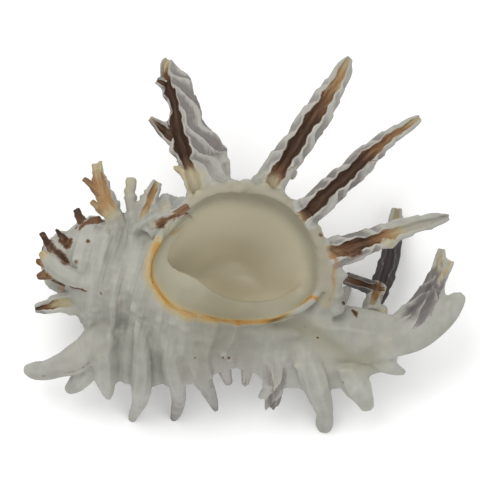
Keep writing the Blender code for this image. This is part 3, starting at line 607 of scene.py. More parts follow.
def columella(shape):
    rings = []
    for distance, radius in smoothPairs(coreProfile, 6):
        rings.append([roundAxis(distance, radius, math.tau * k / 72) for k in range(72)])
    addRings(shape, rings)


def outlineRing(outline, size=1.0, shiftX=0.0, shiftY=0.0, height=0.0, share=0.0, grow=0.0):
    # an outline resized about its middle, moved, pushed out and taken a share of the way to a height
    middle = np.array(outline, dtype=float)[:, :2].mean(axis=0)
    ring = []
    for x, y, z in smoothLoop(outline, 144):
        out = np.array([x, y]) - middle
        reach = size + grow / (float(np.linalg.norm(out)) * scale["perPixel"])
        spot = middle + out * reach + np.array([shiftX, shiftY])
        ring.append(place(spot[0], spot[1], z + (height - z) * share))
    return ring


def cavityRings(grow=0.0, drop=0.0):
    rings = [outlineRing(throatOutline, grow=grow)]
    for size, shiftX, shiftY, share in smoothPairs([(1.0, 0, 0, 0.0)] + cavityLevels, 5)[1:]:
        ring = outlineRing(throatOutline, size, shiftX, shiftY, cavityFloor, share, grow)
        rings.append([point - up * drop for point in ring])
    return rings


def bowlRings():
    # the rim rolls over into a broad soft shelf and then into the deep throat
    rim = outlineRing(rimOutline)
    throat = outlineRing(throatOutline)
    rings = []
    for k in range(8):
        t = k / 8
        sag = -1.3 * math.sin(math.pi * t) * (1 - 0.4 * t)
        rings.append([a.lerp(b, t) + Vector((0, 0, sag)) for a, b in zip(rim, throat)])
    return rings + cavityRings()


def makeObject(name, shape):
    bmesh.ops.recalc_face_normals(shape, faces=shape.faces)
    mesh = bpy.data.meshes.new(name)
    shape.to_mesh(mesh)
    shape.free()
    thing = bpy.data.objects.new(name, mesh)
    bpy.context.scene.collection.objects.link(thing)
    return thing


def settle(thing):
    # replaces the mesh by what its modifiers make of it
    graph = bpy.context.evaluated_depsgraph_get()
    mesh = bpy.data.meshes.new_from_object(thing.evaluated_get(graph))
    thing.modifiers.clear()
    thing.data = mesh


def fuse(thing, size):
    step = thing.modifiers.new("fuse", "REMESH")
    step.mode = "VOXEL"
    step.voxel_size = size
    settle(thing)
    print("fused", len(thing.data.polygons))


def cut(thing, cutter):
    step = thing.modifiers.new("cut", "BOOLEAN")
    step.operation = "DIFFERENCE"
    step.solver = "MANIFOLD"
    step.object = cutter
    settle(thing)
    bpy.data.objects.remove(cutter)


def surfaceTree(thing):
    body = bmesh.new()
    body.from_mesh(thing.data)
    found = BVHTree.FromBMesh(body)
    body.free()
    return found


def sweepKind(group, name):
    # how a spine is swept: folded, scaly or plain
    if group in (lipSpines, backSpines) or name in foldedSpines:
        look = grooveShape
        return dict(section=grooveSection, depth=look["frill"], pitch=look["frillPitch"], edge=scales)
    if group is leftSpines and name not in smoothSpines:
        return dict(section=ovalSection, depth=1.5, pitch=5.0, edge=scales)
    return dict(section=ovalSection)


def gather(shape):
    # every body of the shell, overlapping until they are fused
    runRows.clear()
    whorls(shape)
    columella(shape)
    addRings(shape, [outlineRing(rimOutline, grow=4.0)] + cavityRings(6.0, 6.0))
    sweep(shape, canalPath, canalSection)
    sweep(shape, lipEdge, ovalSection, depth=0.9, pitch=7.0)
    sweep(shape, lowVarix, varixSection, Vector((0.0, -0.6, 0.8)))
    sweep(shape, backVarix, ovalSection)
    for group in (lipSpines, backSpines, lipBranches, leftSpines, lowSpines):
        for name, spine in group.items():
            hidden = 0.5 if group is lowSpines else 0.12
            if "branch" in name.lower():
                hidden = 0.0
            tints = spine.get("tints", bareTint)
            sweep(shape, spine["run"], tints=tints, hidden=hidden, **sweepKind(group, name))
    for spine in restSpines.values():
        sweep(shape, spine["run"], ovalSection, acrossAxis)
    sweep(shape, [(*point, 2.4) for point in rimPath], canalSection)
    sweep(shape, lipCorner, canalSection)


def addKnobs(shape, surface):
    for x, y, radius, rise in knobs:
        spot, normal = surface.ray_cast(place(x, y, 200.0), -up)[:2]
        if spot is None:
            continue
        size = radius * scale["perPixel"]
        middle = spot + normal * (rise - 0.8 * size)
        turn = Vector((math.sin(x), math.cos(y), math.sin(x + y))).normalized()
        frameAt = Matrix.Translation(middle) @ up.rotation_difference(turn).to_matrix().to_4x4()
        lump = Matrix.Diagonal((size, size * 0.8, size * 0.9, 1.0))
        bmesh.ops.create_icosphere(shape, subdivisions=3, radius=1.0, matrix=frameAt @ lump)


def grain(points, size, seed):
    # smooth random values between -1 and 1, with one bump to each size in mm
    spots = points / size + seed * 17.31
    low = np.floor(spots).astype(np.int64)
    part = spots - low
    part = part * part * (3 - 2 * part)
    total = np.zeros(len(points))
    for corner in np.ndindex(2, 2, 2):
        at = low + np.array(corner)
        mixed = (at[:, 0] * 73856093) ^ (at[:, 1] * 19349663) ^ (at[:, 2] * 83492791)
        mixed = (mixed ^ (mixed >> 13)) * 1274126177
        value = ((mixed ^ (mixed >> 16)) & 0xFFFF) / 32767.5 - 1
        weight = np.prod(np.where(np.array(corner) == 1, part, 1 - part), axis=1)
        total += value * weight
    return total


def ease(value, low, high):
    t = np.clip((value - low) / (high - low), 0, 1)
    return t * t * (3 - 2 * t)


class Surface:
    # the mesh's points, edges and outward directions as arrays
    def __init__(self, mesh):
        self.mesh = mesh
        self.points = np.zeros(len(mesh.vertices) * 3)
        mesh.vertices.foreach_get("co", self.points)
        self.points = self.points.reshape(-1, 3)
        self.edges = np.zeros(len(mesh.edges) * 2, dtype=np.int64)
        mesh.edges.foreach_get("vertices", self.edges)
        self.edges = self.edges.reshape(-1, 2)
        self.ways = np.bincount(self.edges.ravel(), minlength=len(self.points)).astype(float)

    def outward(self):
        found = np.zeros(len(self.points) * 3, dtype=np.float32)
        self.mesh.vertex_normals.foreach_get("vector", found)
        return found.reshape(-1, 3).astype(float)

    def around(self, values):
        # the mean of each point's neighbours
        flat = values if values.ndim == 2 else values[:, None]
        total = np.zeros_like(flat)
        ends, others = self.edges.T
        for axis in range(flat.shape[1]):
            column = flat[:, axis]
            total[:, axis] = np.bincount(ends, column[others], len(flat))
            total[:, axis] += np.bincount(others, column[ends], len(flat))
        total /= np.maximum(self.ways, 1)[:, None]
        return total if values.ndim == 2 else total[:, 0]

    def soften(self, times, share):
        # a share for each point, or one for all
        shares = np.broadcast_to(np.asarray(share, dtype=float), len(self.points))[:, None]
        for _ in range(times):
            self.points += (self.around(self.points) - self.points) * shares
        self.store()

    def store(self):
        self.mesh.vertices.foreach_set("co", self.points.ravel())
        self.mesh.update()

    def keep(self, name, values):
        layer = self.mesh.attributes.get(name) or self.mesh.attributes.new(name, "FLOAT", "POINT")
        layer.data.foreach_set("value", np.asarray(values, dtype=np.float32))


def nearestOf(spots):
    found = kdtree.KDTree(len(spots))
    for i, spot in enumerate(spots):
        found.insert(spot, i)
    found.balance()
    return found


def paintRows(surface):
    # each point's place on the nearest spine, and that spine's tints there
    found = nearestOf([row[0] for row in runRows])
    nearest = np.array([found.find(point)[1] for point in surface.points])
    centres, sides, faces = (np.array([row[k] for row in runRows])[nearest] for k in range(3))
    size = np.array([row[3:] for row in runRows])[nearest]
    offset = surface.points - centres
    sideways = np.einsum("ij,ij->i", offset, sides)
    faceways = np.einsum("ij,ij->i", offset, faces)
    edge = np.where(sideways < 0, size[:, 0], size[:, 1])
    beyond = np.maximum(np.abs(sideways) - edge, 0) + np.maximum(np.abs(faceways) - 0.16 * edge * 2 - 3.0, 0)
    near = (1 - ease(beyond, 0.3, 2.2)) * size[:, 7]
    channel = np.clip(sideways / np.where(sideways < 0, size[:, 2], size[:, 3]), -4, 4)
    fields = dict(near=near, channel=np.where(near > 0, channel, 4), run=size[:, 4], turns=size[:, 5])
    fields.update(folded=size[:, 6] * near, across=sideways)
    for k, key in enumerate(("dark", "warm", "grey", "cream")):
        fields[key] = size[:, 8 + k] * near
    return fields


# Spots: x, y, radius in pixels, brown, orange. The brown spot at 123, 212 is painted shade in a small hole.
spotTints = [
    (145, 400, 2, 0.7, 0.1), (166, 384, 2, 0.5, 0.1), (305, 327, 1.4, 1.0, 0.0), (318, 338, 1.2, 1.0, 0.0),
    (343, 383, 1.4, 1.0, 0.0), (195, 358, 1.3, 0.9, 0.0), (88, 241, 3, 0.9, 0.0), (76, 262, 5, 0.5, 0.1),
    (134, 309, 3, 0.5, 0.2), (143, 316, 5, 0.0, 0.45), (105, 286, 6, 0.2, 0.45), (101, 294, 2, 1.0, 0.0),
    (223, 358, 2, 0.9, 0.0), (229, 358, 2, 0.9, 0.0), (377, 295, 5, 0.2, 1.0), (163, 227, 3, 0.8, 0.3),
    (123, 212, 3, 0.9, 0.0), (321, 235, 4, 0.7, 0.3), (62, 289, 5, 0.2, 0.9), (75, 320, 5, 0.0, 0.5),
    (120, 302, 4, 0.2, 0.4), (233, 197, 2, 0.6, 0.0), (238, 199, 1.5, 0.8, 0.0), (384, 311, 4, 0.3, 0.2),
    (344, 303, 3, 0.9, 0.0), (356, 314, 4, 0.9, 0.0), (350, 307, 3, 0.7, 0.0), (217, 146, 5, 0.0, 0.35),
    (224, 158, 5, 0.0, 0.35), (345, 275, 2, 0.3, 0.0),
]
# Lines: points, width in mm, brown, orange
lineTints = [
    ([(157, 224), (172, 217), (186, 214), (193, 220)], 1.4, 0.7, 0.2),
    ([(169, 235), (178, 230), (185, 224)], 1.5, 0.2, 0.7),
    ([(353, 311), (356, 314), (358, 318)], 1.0, 1.0, 0.0),
    ([(332, 255), (337, 262), (333, 274), (334, 288), (330, 300)], 1.3, 0.3, 0.75),
    ([(345, 252), (352, 256), (360, 252)], 1.4, 0.9, 0.1),
    ([(272, 309), (273, 309)], 0.5, 0.9, 0.0),
    ([(371, 151), (392, 136), (412, 119)], 0.5, 0.7, 0.3),
    ([(96, 305), (112, 304), (135, 310), (160, 322)], 1.0, 0.15, 0.3),
    ([(184, 165), (192, 172), (196, 186), (197, 198)], 0.5, 0.45, 0.3),
    ([(44, 239), (52, 248), (60, 254), (66, 262)], 2.2, 0.9, 0.1),
    ([(60, 240), (66, 246), (70, 240)], 1.6, 0.8, 0.3),
    ([(40, 377), (60, 374), (80, 369), (98, 354)], 0.8, 0.45, 0.0),
    ([(64, 377), (78, 371), (92, 362)], 0.6, 0.4, 0.0),
    ([(178, 384), (182, 396), (182, 408)], 0.7, 0.4, 0.1),
    ([(268, 376), (270, 388), (269, 402)], 0.6, 0.45, 0.1),
    ([(277, 370), (278, 384), (276, 398)], 0.6, 0.4, 0.1),
    ([(223, 372), (226, 378), (229, 384)], 0.9, 0.5, 0.0),
    ([(247, 374), (246, 380), (245, 386)], 0.8, 0.5, 0.0),
    ([(76, 228), (88, 222), (98, 222)], 1.0, 0.8, 0.3),
    ([(38, 262), (44, 273), (56, 282), (70, 287), (86, 291)], 0.8, 0.8, 0.1),
]
# The outer lip's edge, where the glaze of the inside runs out onto the spines
lipTop = [
    (326, 300), (329, 282), (325, 262), (320, 246), (312, 231), (302, 217), (288, 205), (271, 197),
    (252, 192), (233, 191), (214, 194), (200, 203), (190, 212), (180, 221), (170, 233),
]
lipHeights = (50, 56)  # the glaze fades in between these
# Soft valleys pressed into the upper side: points, width and depth in mm
valleys = [
    ([(276, 322), (298, 324), (319, 337), (338, 352), (354, 363), (368, 360)], 3.4, 2.6),
    ([(372, 352), (392, 350), (408, 345)], 3.0, 1.0),
    ([(122, 322), (122, 350), (124, 376)], 3.2, 1.2),
    ([(147, 318), (148, 345), (155, 372)], 2.4, 1.0),
    ([(184, 336), (188, 352), (186, 378)], 2.0, 0.9),
    ([(84, 234), (84, 246), (84, 262)], 6.0, 0.8),
]
# Broad soft patches of painted shade and painted light: x, y, radius in pixels, share of painted shade
# (above 0) or of painted light (below 0)
shadeAndLightPatches = [
    (225, 320, 36, 1.0), (202, 345, 26, 0.7), (300, 335, 15, 0.5), (290, 292, 16, 0.5),
    (216, 242, 36, -0.8), (196, 258, 20, -0.4), (326, 396, 30, -0.9), (362, 385, 24, -0.9),
    (396, 366, 16, -0.6), (108, 385, 16, -0.6), (140, 396, 20, -0.7), (178, 394, 16, -0.5),
    (272, 388, 16, -0.5), (228, 373, 13, -0.4), (86, 384, 14, -0.5),
]


def nearSpot(points, x, y, radius):
    # 1 at a place seen from above, falling off over the radius in pixels
    centre = np.array(place(x, y, 0))[:2]
    return np.exp(-np.sum((points[:, :2] - centre) ** 2, axis=1) / (radius * scale["perPixel"]) ** 2)


def nearPath(points, path, width):
    # 1 on a path seen from above, falling off over the width in mm
    gap = np.full(len(points), 1e9)
    for row in smoothRun([(*point, 0) for point in path], 0.8):
        gap = np.minimum(gap, np.sum((points[:, :2] - np.array(place(*row))[:2]) ** 2, axis=1))
    return np.exp(-gap / width ** 2)


def underThroat(points):
    # how far each point lies below a plane through the throat
    ring = np.array([place(*spot) for spot in throatOutline])
    ones = np.ones(len(ring))
    plane = np.linalg.lstsq(np.column_stack([ring[:, :2], ones]), ring[:, 2], rcond=None)[0]
    return points[:, :2] @ plane[:2] + plane[2] - points[:, 2]


def strongest(layers):
    # the highest strength times reach at each point
    best = 0.0
    for strength, reach in layers:
        best = np.maximum(best, strength * reach)
    return best


def paintShadeAndLight(surface):
    # painted shade and painted light over broad patches
    patches = [(share, nearSpot(surface.points, x, y, radius)) for x, y, radius, share in shadeAndLightPatches]
    surface.keep("paintedShade", strongest([(max(0.0, share), reach) for share, reach in patches]))
    surface.keep("paintedLight", strongest([(max(0.0, -share), reach) for share, reach in patches]))


def paintSpots(surface):
    # spots lie on what the reference picture shows at their place, so only the upper side takes them
    points = surface.points
    facing = ease(surface.outward()[:, 2], 0.12, 0.45)
    marks = [(brown, orange, nearSpot(points, x, y, radius)) for x, y, radius, brown, orange in spotTints]
    marks += [(brown, orange, nearPath(points, path, width)) for path, width, brown, orange in lineTints]
    surface.keep("brownSpot", strongest([(brown, reach) for brown, orange, reach in marks]) * facing)
    surface.keep("orangeSpot", strongest([(orange, reach) for brown, orange, reach in marks]) * facing)


carving = dict(
    cord=0.75,
    cordPitch=10.5,
    smallCord=0.14,  # against a cord
    smallCordPitch=4.4,
    thread=0.1,
    threadPitch=1.9,
    growth=0.04,
    growthLines=46,
    glaze=0.08,
)


def carve(surface, inside, near):
    # cords and growth lines outside, a smooth glaze inside
    look = carving
    points = surface.points
    offset = points - np.array(place(*whorlShape["axisStart"], whorlShape["axisHeight"]))
    distance = offset @ np.array(downAxis)
    angle = np.arctan2(offset[:, 2], offset @ np.array(acrossAxis))
    rough = 1 - inside
    turn = (distance + 3.0 * grain(points, 19.0, 1)) * math.tau
    cords = np.cos(turn / look["cordPitch"]) + look["smallCord"] * np.cos(turn / look["smallCordPitch"])
    threads = np.cos(turn / look["threadPitch"])
    growth = np.cos(angle * look["growthLines"] + 2.0 * grain(points, 9.0, 2))
    body = (1 - near) * rough * (1 - ease(distance, 80, 98))
    lift = body * (look["cord"] * cords + look["thread"] * threads + look["growth"] * growth)
    calm = rough * (1 - 0.75 * ease(distance, 85, 105) * (1 - near))
    lumps = 0.16 * grain(points, 7.5, 3) + 0.06 * grain(points, 2.4, 4) + 0.04 * grain(points, 1.2, 5)
    lift += calm * lumps
    lift += inside * look["glaze"] * grain(points, 12.0, 6)
    surface.points = points + surface.outward() * lift[:, None]
    for path, width, depth in valleys:
        reach = nearPath(surface.points, path, width)
        surface.points[:, 2] -= depth * reach * ease(surface.outward()[:, 2], 0.0, 0.5) * rough
    surface.store()


def fuseShell():
    # fused once so that the knobs find the surface, and again with them
    first = bmesh.new()
    gather(first)
    rough = makeObject("roughShell", first)
    fuse(rough, meshing["firstVoxel"])
    second = bmesh.new()
    gather(second)
    addKnobs(second, surfaceTree(rough))
    bpy.data.objects.remove(rough)
    shell = makeObject("murexShell", second)
    fuse(shell, meshing["voxel"])
    return shell


def hollowShell(shell):
    # cuts the bowl and gives its lining
    rings = bowlRings()
    bowl = bmesh.new()
    addRings(bowl, [outlineRing(rimOutline, 1.03, height=120.0, share=1.0)] + rings)
    cut(shell, makeObject("bowl", bowl))
    fuse(shell, meshing["voxel"])
    lining = bmesh.new()
    addRings(lining, rings)
    lining = makeObject("lining", lining)
    found = surfaceTree(lining)
    bpy.data.objects.remove(lining)
    return found


def keepFields(surface, inside, rimGap, spineFields):
    # what the material reads at each point
    points = surface.points
    below = underThroat(points)
    steep = 1 - ease(surface.outward()[:, 2], 0.55, 0.9)
    surface.keep("inside", inside)
    # painted light: the bowl's deep part is given a lighter colour
    surface.keep("deepPaintedLight", inside * ease(below, -2.5, 5.0))
    # painted light: the bowl's steep walls are lightened in the paint
    surface.keep("wall", inside * ease(below, -1.5, 2.0) * steep)
    surface.keep("lip", nearPath(points, lipTop, 5.0) * ease(points[:, 2], *lipHeights))
    surface.keep("rimGap", rimGap)
    for name, values in spineFields.items():
        surface.keep(name, values)
    paintSpots(surface)
    paintShadeAndLight(surface)
    # painted shade along the canal's slit
    surface.keep("slitShade", nearPath(points, valleys[0][0], 5.5) * (1 - inside))
    # how far each point lies in a hollow (above 0) or on a ridge (below 0), for painted shade in the hollows
    hollow = np.einsum("ij,ij->i", surface.around(points) - points, surface.outward())
    for _ in range(3):
        hollow = surface.around(hollow)
    surface.keep("hollow", np.clip(hollow / 0.05, -1, 1))


def flattenTips(shell):
    # takes off what reaches under the surface that the shell lies on
    slab = bmesh.new()
    bmesh.ops.create_cube(slab, size=1.0)
    bmesh.ops.transform(slab, matrix=Matrix.Diagonal((400.0, 400.0, 40.0, 1.0)), verts=slab.verts)
    bmesh.ops.translate(slab, vec=(0.0, 0.0, -20.0), verts=slab.verts)
    cut(shell, makeObject("slab", slab))


def buildShell():
    shell = fuseShell()
    lining = hollowShell(shell)
    surface = Surface(shell.data)
    surface.soften(1, 0.5)
    near = paintRows(surface)["near"]
    lip = nearPath(surface.points, lipTop, 4.5) * ease(surface.points[:, 2], *lipHeights)
    surface.soften(meshing["softenings"], 0.5 * np.maximum(1 - near, lip))
    gaps = np.array([lining.find_nearest(point)[3] for point in surface.points])
    inside = 1 - ease(gaps, 0.45, 0.95)
    rim = nearestOf([place(*row) for row in smoothRun(rimColour, 0.6)])
    rimGap = np.array([rim.find(point)[2] for point in surface.points])
    spineFields = paintRows(surface)
    carve(surface, inside, spineFields["near"])
    print("carved")
    keepFields(surface, inside, rimGap, spineFields)
    print("painted", len(shell.data.vertices))
    flattenTips(shell)
    triangles = sum(len(face.vertices) - 2 for face in shell.data.polygons)
    thin = shell.modifiers.new("thin", "DECIMATE")
    thin.ratio = min(1.0, meshing["faces"] / triangles)
    settle(shell)
    print("thinned", len(shell.data.polygons))
    return shell


def standOnFrame(shell):
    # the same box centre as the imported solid
    low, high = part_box("shell")
    target = (low + high) / 2
    points = np.zeros(len(shell.data.vertices) * 3)
    shell.data.vertices.foreach_get("co", points)
    points = points.reshape(-1, 3) * scale["metres"]
    middle = (points.min(0) + points.max(0)) / 2
    shift = np.array([target.x - middle[0], target.y - middle[1], 0.0])
    points += shift
    points[:, 2] = np.maximum(points[:, 2], 0.0)
    shell.data.vertices.foreach_set("co", points.ravel())
    shell.data.update()
    print("box", points.min(0).round(5), points.max(0).round(5), "packed", low, high)
    return Vector(shift)


class Wire:
    # a node's output that can be used in sums
    tree = None

    def __init__(self, socket):
        self.socket = socket

    @staticmethod
    def node(kind, settings=None, inputs=None, out=0):
        made = Wire.tree.nodes.new(kind)
        for key, value in (settings or {}).items():
            setattr(made, key, value)
        for key, value in (inputs or {}).items():
            if isinstance(value, Wire):
                Wire.tree.links.new(value.socket, made.inputs[key])
            elif made.inputs[key].type == "RGBA":
                made.inputs[key].default_value = (*value, 1.0)
            else:
                made.inputs[key].default_value = value
        return Wire(made.outputs[out])

    def maths(self, operation, *others, clamp=False):
        settings = dict(operation=operation, use_clamp=clamp)
        return Wire.node("ShaderNodeMath", settings, dict(enumerate((self, *others))))

    def __add__(self, other):
        return self.maths("ADD", other)

    def __sub__(self, other):
        return self.maths("SUBTRACT", other)

    def __rsub__(self, other):
        return Wire.node("ShaderNodeMath", dict(operation="SUBTRACT"), {0: other, 1: self})

    def __mul__(self, other):
        return self.maths("MULTIPLY", other)

    def __truediv__(self, other):
        return self.maths("DIVIDE", other)

    __radd__ = __add__
    __rmul__ = __mul__

    def clip(self):
        return self.maths("ADD", 0.0, clamp=True)

    def step(self, low, high):
        # 0 below low, 1 above high, eased between
        settings = dict(interpolation_type="SMOOTHSTEP")
        return Wire.node("ShaderNodeMapRange", settings, {"Value": self, "From Min": low, "From Max": high})

    def fade(self, low, high):
        return 1 - self.step(low, high)


def mixColour(share, first, second, kind="MIX"):
    settings = dict(data_type="RGBA", blend_type=kind)
    return Wire.node("ShaderNodeMix", settings, {0: share, 6: first, 7: second}, 2)


def field(name):
    return Wire.node("ShaderNodeAttribute", dict(attribute_name=name, attribute_type="GEOMETRY"), {}, "Fac")


def noise(place, size, detail=4.0, roughness=0.55, stretch=None):
    # the size is that of one patch, in the units of the place
    if stretch:
        place = Wire.node("ShaderNodeMapping", {}, {"Vector": place, "Scale": stretch})
    values = {"Vector": place, "Scale": 1.0 / size, "Detail": detail, "Roughness": roughness}
    return Wire.node("ShaderNodeTexNoise", {}, values, "Fac")


shellFinish = dict(
    chalk=(0.342, 0.344, 0.306),
    chalkDark=(0.235, 0.230, 0.198),
    chalkWarm=(0.34, 0.312, 0.238),
    inside=(0.25, 0.23, 0.165),
    # the deep and floor colours are lighter, as painted light in the bowl's depths
    insideDeepPaintedLight=(0.345, 0.312, 0.232),
    insideFloorPaintedLight=(0.33, 0.288, 0.190),
    insidePale=(0.285, 0.27, 0.20),
    rim=(0.34, 0.185, 0.045),
    rimPale=(0.36, 0.275, 0.125),
    rimLow=(0.30, 0.150, 0.030),
    # painted light on the bowl's steep walls
    wall=(1.26, 1.26, 1.24),  # these three multiply what lies under them
    # painted shade and painted light over broad patches
    paintedShade=(0.79, 0.77, 0.70),
    paintedLight=(1.32, 1.33, 1.35),
    cream=(0.37, 0.33, 0.225),
    darkBrown=(0.038, 0.019, 0.010),
    brown=(0.125, 0.062, 0.028),
    tan=(0.26, 0.17, 0.082),
    orange=(0.265, 0.14, 0.052),
    slate=(0.142, 0.128, 0.120),
    slateDark=(0.05, 0.042, 0.042),
    slatePale=(0.305, 0.295, 0.268),
    tip=(0.33, 0.285, 0.175),
    # painted shade along the canal's slit
    slitShadeColour=(0.255, 0.24, 0.18),
    scaleEdge=(0.40, 0.38, 0.335),
    glaze=(0.27, 0.25, 0.187),
    roughness=0.55,
    polish=0.2,  # how much smoother the inside is
    specular=0.2,
    bumpStrength=0.35,
    bumpDepth=0.0006,
)


class Grains:
    # the noises that the shell's colours share, at sizes in metres
    def __init__(self):
        self.spot = Wire.node("ShaderNodeTexCoord", {}, {}, "Object")
        self.broad = noise(self.spot, 0.022, 3.0)
        self.patches = noise(self.spot, 0.007, 5.0, 0.6)
        self.specks = noise(self.spot, 0.0022, 4.0, 0.65)
        self.streaks = noise(self.spot, 0.0042, 3.0, 0.55, (1.0, 0.14, 0.14))
        onSpine = {"X": field("across"), "Y": field("run") * 0.16, "Z": 0.0}  # in mm
        self.strands = noise(Wire.node("ShaderNodeCombineXYZ", {}, onSpine), 1.3, 3.0, 0.6)

    def along(self, axis):
        return Wire.node("ShaderNodeSeparateXYZ", {}, {0: self.spot}, axis)


def chalkWithPaintedShade(grains):
    look, broad, streaks, hollow = shellFinish, grains.broad, grains.streaks, field("hollow")
    colour = mixColour((broad + 0.5 * grains.patches).step(0.45, 1.05), look["chalkDark"], look["chalk"])
    colour = mixColour(streaks.step(0.45, 0.7) * 0.35, colour, look["chalkDark"])
    colour = mixColour(streaks.fade(0.3, 0.48) * broad.step(0.4, 0.6) * 0.5, colour, look["chalkWarm"])
    # painted shade in the hollows, and lighter on the ridges
    colour = mixColour(hollow.step(0.05, 0.8) * 0.45, colour, look["chalkDark"])
    colour = mixColour(hollow.fade(-0.8, -0.1) * 0.45, colour, look["chalk"])
    # painted shade along the canal's slit
    return mixColour(field("slitShade") * 0.8, colour, look["slitShadeColour"])


def slateScales(grains, colour):
    # overlapping scales beside the channel: slate, with painted shade in the recess towards each scale's
    # root, a pale thin edge
    look, patches, strands = shellFinish, grains.patches, grains.strands
    across, folded, dark, grey = field("across"), field("folded"), field("dark"), field("grey")
    turns = field("turns") + across.step(-0.1, 0.1) * grooveShape["rightOffset"]
    slant = across.maths("ABSOLUTE") * grooveShape["scaleSlant"]
    phase = (turns + slant + (patches - 0.5) * 0.12).maths("FRACT")
    # slate tone from the strands and patches, with painted shade in the recess behind each scale's edge
    slateAndRecessShade = phase.fade(0.2, 0.95) * 0.5 * folded + strands * 0.75 + (patches - 0.5) * 0.9
    flank = mixColour((slateAndRecessShade + (grey - 0.8) * 0.6).step(0.35, 0.85), look["slatePale"], look["slate"])
    flank = mixColour(((grey - 1.0) * 2.4 - (strands - 0.5) * 1.2).clip(), flank, look["slateDark"])
    flank = mixColour(strands.step(0.6, 0.72) * 0.45, flank, look["scaleEdge"])
    colour = mixColour((grey * (0.8 + 0.6 * strands)).clip(), colour, flank)
    edge = phase.step(0.86, 0.96) * folded * (grey + dark).step(0.05, 0.5) * patches.step(0.35, 0.6)
    return mixColour(edge * grey.fade(0.98, 1.15) * 0.45, colour, look["scaleEdge"])


def stainedGroove(grains, colour):
    # brown deep in the channel, orange and tan where it runs out, pale along its edges
    look, strands = shellFinish, grains.strands
    dark, warm = field("dark"), field("warm")
    side = field("channel").maths("ABSOLUTE") + (grains.specks - 0.5) * 0.35 + (strands - 0.5) * 0.3
    paleEdge = side.step(0.95, 1.08) * side.fade(1.2, 1.42) * field("folded")
    paleEdge = paleEdge * grains.patches.step(0.3, 0.55) * 0.55 * (dark + warm)
    colour = mixColour(paleEdge.clip(), colour, look["scaleEdge"])
    stain = mixColour(warm.step(0.02, 0.3), colour, look["tip"])
    stain = mixColour((warm + (strands - 0.5) * 0.9).step(0.3, 1.0), stain, look["orange"])
    stain = mixColour((warm * strands * 1.3).step(0.35, 0.75) * 0.7, stain, look["tan"])
    depth = dark * 1.1 + (strands - 0.5) * 1.1 + side * 0.1
    stain = mixColour(depth.step(0.2, 0.75), stain, look["brown"])
    stain = mixColour(depth.step(0.6, 1.15), stain, look["darkBrown"])
    colour = mixColour((side.fade(0.82, 1.06) * (dark + warm) * 1.8).clip(), colour, stain)
    return mixColour((field("cream") * side.fade(1.0, 2.2)).clip(), colour, look["cream"])


def glazedBowl(grains, colour):
    look, patches = shellFinish, grains.patches
    bowl = mixColour((grains.broad + patches * 0.3).step(0.45, 0.85), look["inside"], look["insidePale"])
    # painted light in the bowl's deep part and on its floor
    bowl = mixColour(field("deepPaintedLight"), bowl, look["insideDeepPaintedLight"])
    bowl = mixColour(grains.along("Z").fade(0.030, 0.042) * 0.5, bowl, look["insideFloorPaintedLight"])
    # painted light on the bowl's steep walls
    bowl = mixColour(field("wall"), bowl, look["wall"], "MULTIPLY")
    covered = (field("lip") + (patches - 0.5) * 0.25).step(0.3, 0.75)
    colour = mixColour(covered * field("dark").fade(0.1, 0.5), colour, look["glaze"])
    return mixColour(field("inside"), colour, bowl)


def ochreRim(grains, colour):
    # a line along the inner lip, with a paler wash beside it that is broad at the left
    look, leftward = shellFinish, grains.along("X")
    gap = field("rimGap") + (grains.patches - 0.5) * 1.1
    washWidth = leftward.fade(-0.035, 0.0) * 1.6 + 1.3
    colour = mixColour((gap / washWidth).fade(0.5, 1.5) * 0.75, colour, look["rimPale"])
    line = mixColour(leftward.step(-0.03, 0.0), look["rim"], look["rimLow"])
    return mixColour(gap.fade(0.5, 1.4), colour, line)


def shadeLightAndSpots(grains, colour):
    look, patches = shellFinish, grains.patches
    # painted shade and painted light over broad patches, then the spots and lines
    colour = mixColour(field("paintedShade"), colour, look["paintedShade"], "MULTIPLY")
    bare = 1 - field("dark") * field("near")
    colour = mixColour(field("paintedLight") * bare, colour, look["paintedLight"], "MULTIPLY")
    rusty = (field("orangeSpot") + (patches - 0.5) * 1.3).step(0.3, 0.95)
    colour = mixColour(rusty * 0.8, colour, look["orange"])
    browned = field("brownSpot") + (patches + grains.specks - 1.0) * 0.8
    colour = mixColour(browned.step(0.35, 0.7), colour, look["brown"])
    return mixColour(browned.step(0.6, 0.9), colour, look["darkBrown"])


def paintShell(shell):
    look = shellFinish
    material = bpy.data.materials.new("murexShell")
    material.use_nodes = True
    Wire.tree = material.node_tree
    shader = Wire.tree.nodes["Principled BSDF"]
    grains = Grains()
    colour = chalkWithPaintedShade(grains)
    for coat in (slateScales, stainedGroove, glazedBowl, ochreRim, shadeLightAndSpots):
        colour = coat(grains, colour)
    inside = field("inside")
    roughness = look["roughness"] - inside * look["polish"] + (grains.specks - 0.5) * 0.12
    height = grains.specks * 0.5 + grains.streaks * 0.6 + grains.patches * 0.4
    height = (height + grains.strands * field("near") * 1.4) * (1 - inside * 0.95)
    values = {"Strength": look["bumpStrength"], "Distance": look["bumpDepth"], "Height": height}
    bump = Wire.node("ShaderNodeBump", {}, values, "Normal")
    Wire.tree.links.new(colour.socket, shader.inputs["Base Color"])
    Wire.tree.links.new(roughness.clip().socket, shader.inputs["Roughness"])
    Wire.tree.links.new(bump.socket, shader.inputs["Normal"])
    shader.inputs["Specular IOR Level"].default_value = look["specular"]
    shell.data.materials.clear()
    shell.data.materials.append(material)


floorLook = dict(
    size=3.0,
    colour=(0.97, 0.97, 0.97),
    roughness=0.9,
)
lightLook = dict(
    world=0.92,
    worldColour=(1.0, 1.0, 1.0),
    aim=(0.0, 0.0, 0.04),
    lamps=dict(
        key=dict(at=(-0.5, 0.8, 1.6), size=1.2, power=17.0),
        fill=dict(at=(0.9, -0.6, 1.6), size=1.4, power=3.0),
    ),
)
cameraLook = dict(
    lens=1500.0,
    sensor=36.0,
    planeHeight=60.0,
    pictureMiddle=(250.0, 250.0),
    pictureWidth=500.0,
)


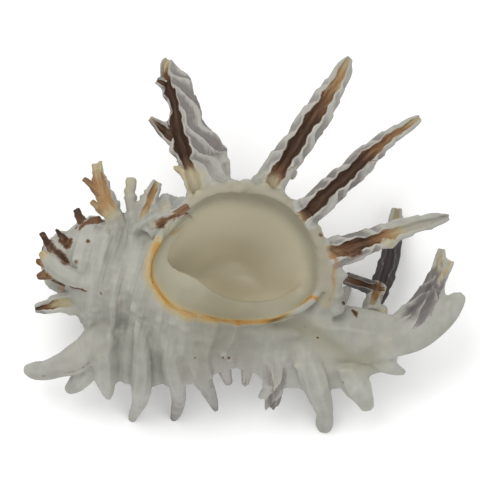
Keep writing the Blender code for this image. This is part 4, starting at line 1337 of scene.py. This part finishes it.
def makeFloor():
    body = bmesh.new()
    half = floorLook["size"] / 2
    corners = ((-half, -half), (half, -half), (half, half), (-half, half))
    body.faces.new([body.verts.new((x, y, 0.0)) for x, y in corners])
    floor = makeObject("floor", body)
    material = bpy.data.materials.new("floor")
    material.use_nodes = True
    shader = material.node_tree.nodes["Principled BSDF"]
    shader.inputs["Base Color"].default_value = (*floorLook["colour"], 1.0)
    shader.inputs["Roughness"].default_value = floorLook["roughness"]
    shader.inputs["Specular IOR Level"].default_value = 0.0
    floor.data.materials.append(material)


def makeLamp(name, at, size, power):
    lamp = bpy.data.lights.new(name, "AREA")
    lamp.shape = "DISK"
    lamp.size = size
    lamp.energy = power
    thing = bpy.data.objects.new(name, lamp)
    thing.location = at
    towards = Vector(lightLook["aim"]) - Vector(at)
    thing.rotation_euler = towards.to_track_quat("-Z", "Y").to_euler()
    bpy.context.scene.collection.objects.link(thing)


def lightScene():
    world = bpy.data.worlds.new("studio")
    world.use_nodes = True
    background = world.node_tree.nodes["Background"]
    background.inputs["Color"].default_value = (*lightLook["worldColour"], 1.0)
    background.inputs["Strength"].default_value = lightLook["world"]
    bpy.context.scene.world = world
    for name, lamp in lightLook["lamps"].items():
        makeLamp(name, **lamp)
    bpy.context.scene.view_settings.view_transform = "Standard"


def aimCamera(shift):
    look = cameraLook
    lens = bpy.data.cameras.new("camera")
    lens.lens = look["lens"]
    lens.sensor_width = look["sensor"]
    lens.clip_end = 100.0
    wide = look["pictureWidth"] * scale["perPixel"] * scale["metres"]
    target = place(*look["pictureMiddle"], look["planeHeight"]) * scale["metres"] + shift
    camera = bpy.data.objects.new("camera", lens)
    camera.location = target + Vector((0.0, 0.0, wide * look["lens"] / look["sensor"]))
    bpy.context.scene.collection.objects.link(camera)
    bpy.context.scene.camera = camera


shell = buildShell()
shift = standOnFrame(shell)
shell.data.shade_smooth()
paintShell(shell)
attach(shell, "root")
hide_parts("shell")
print("shell in place")
makeFloor()
lightScene()
aimCamera(shift)
print("stage set")
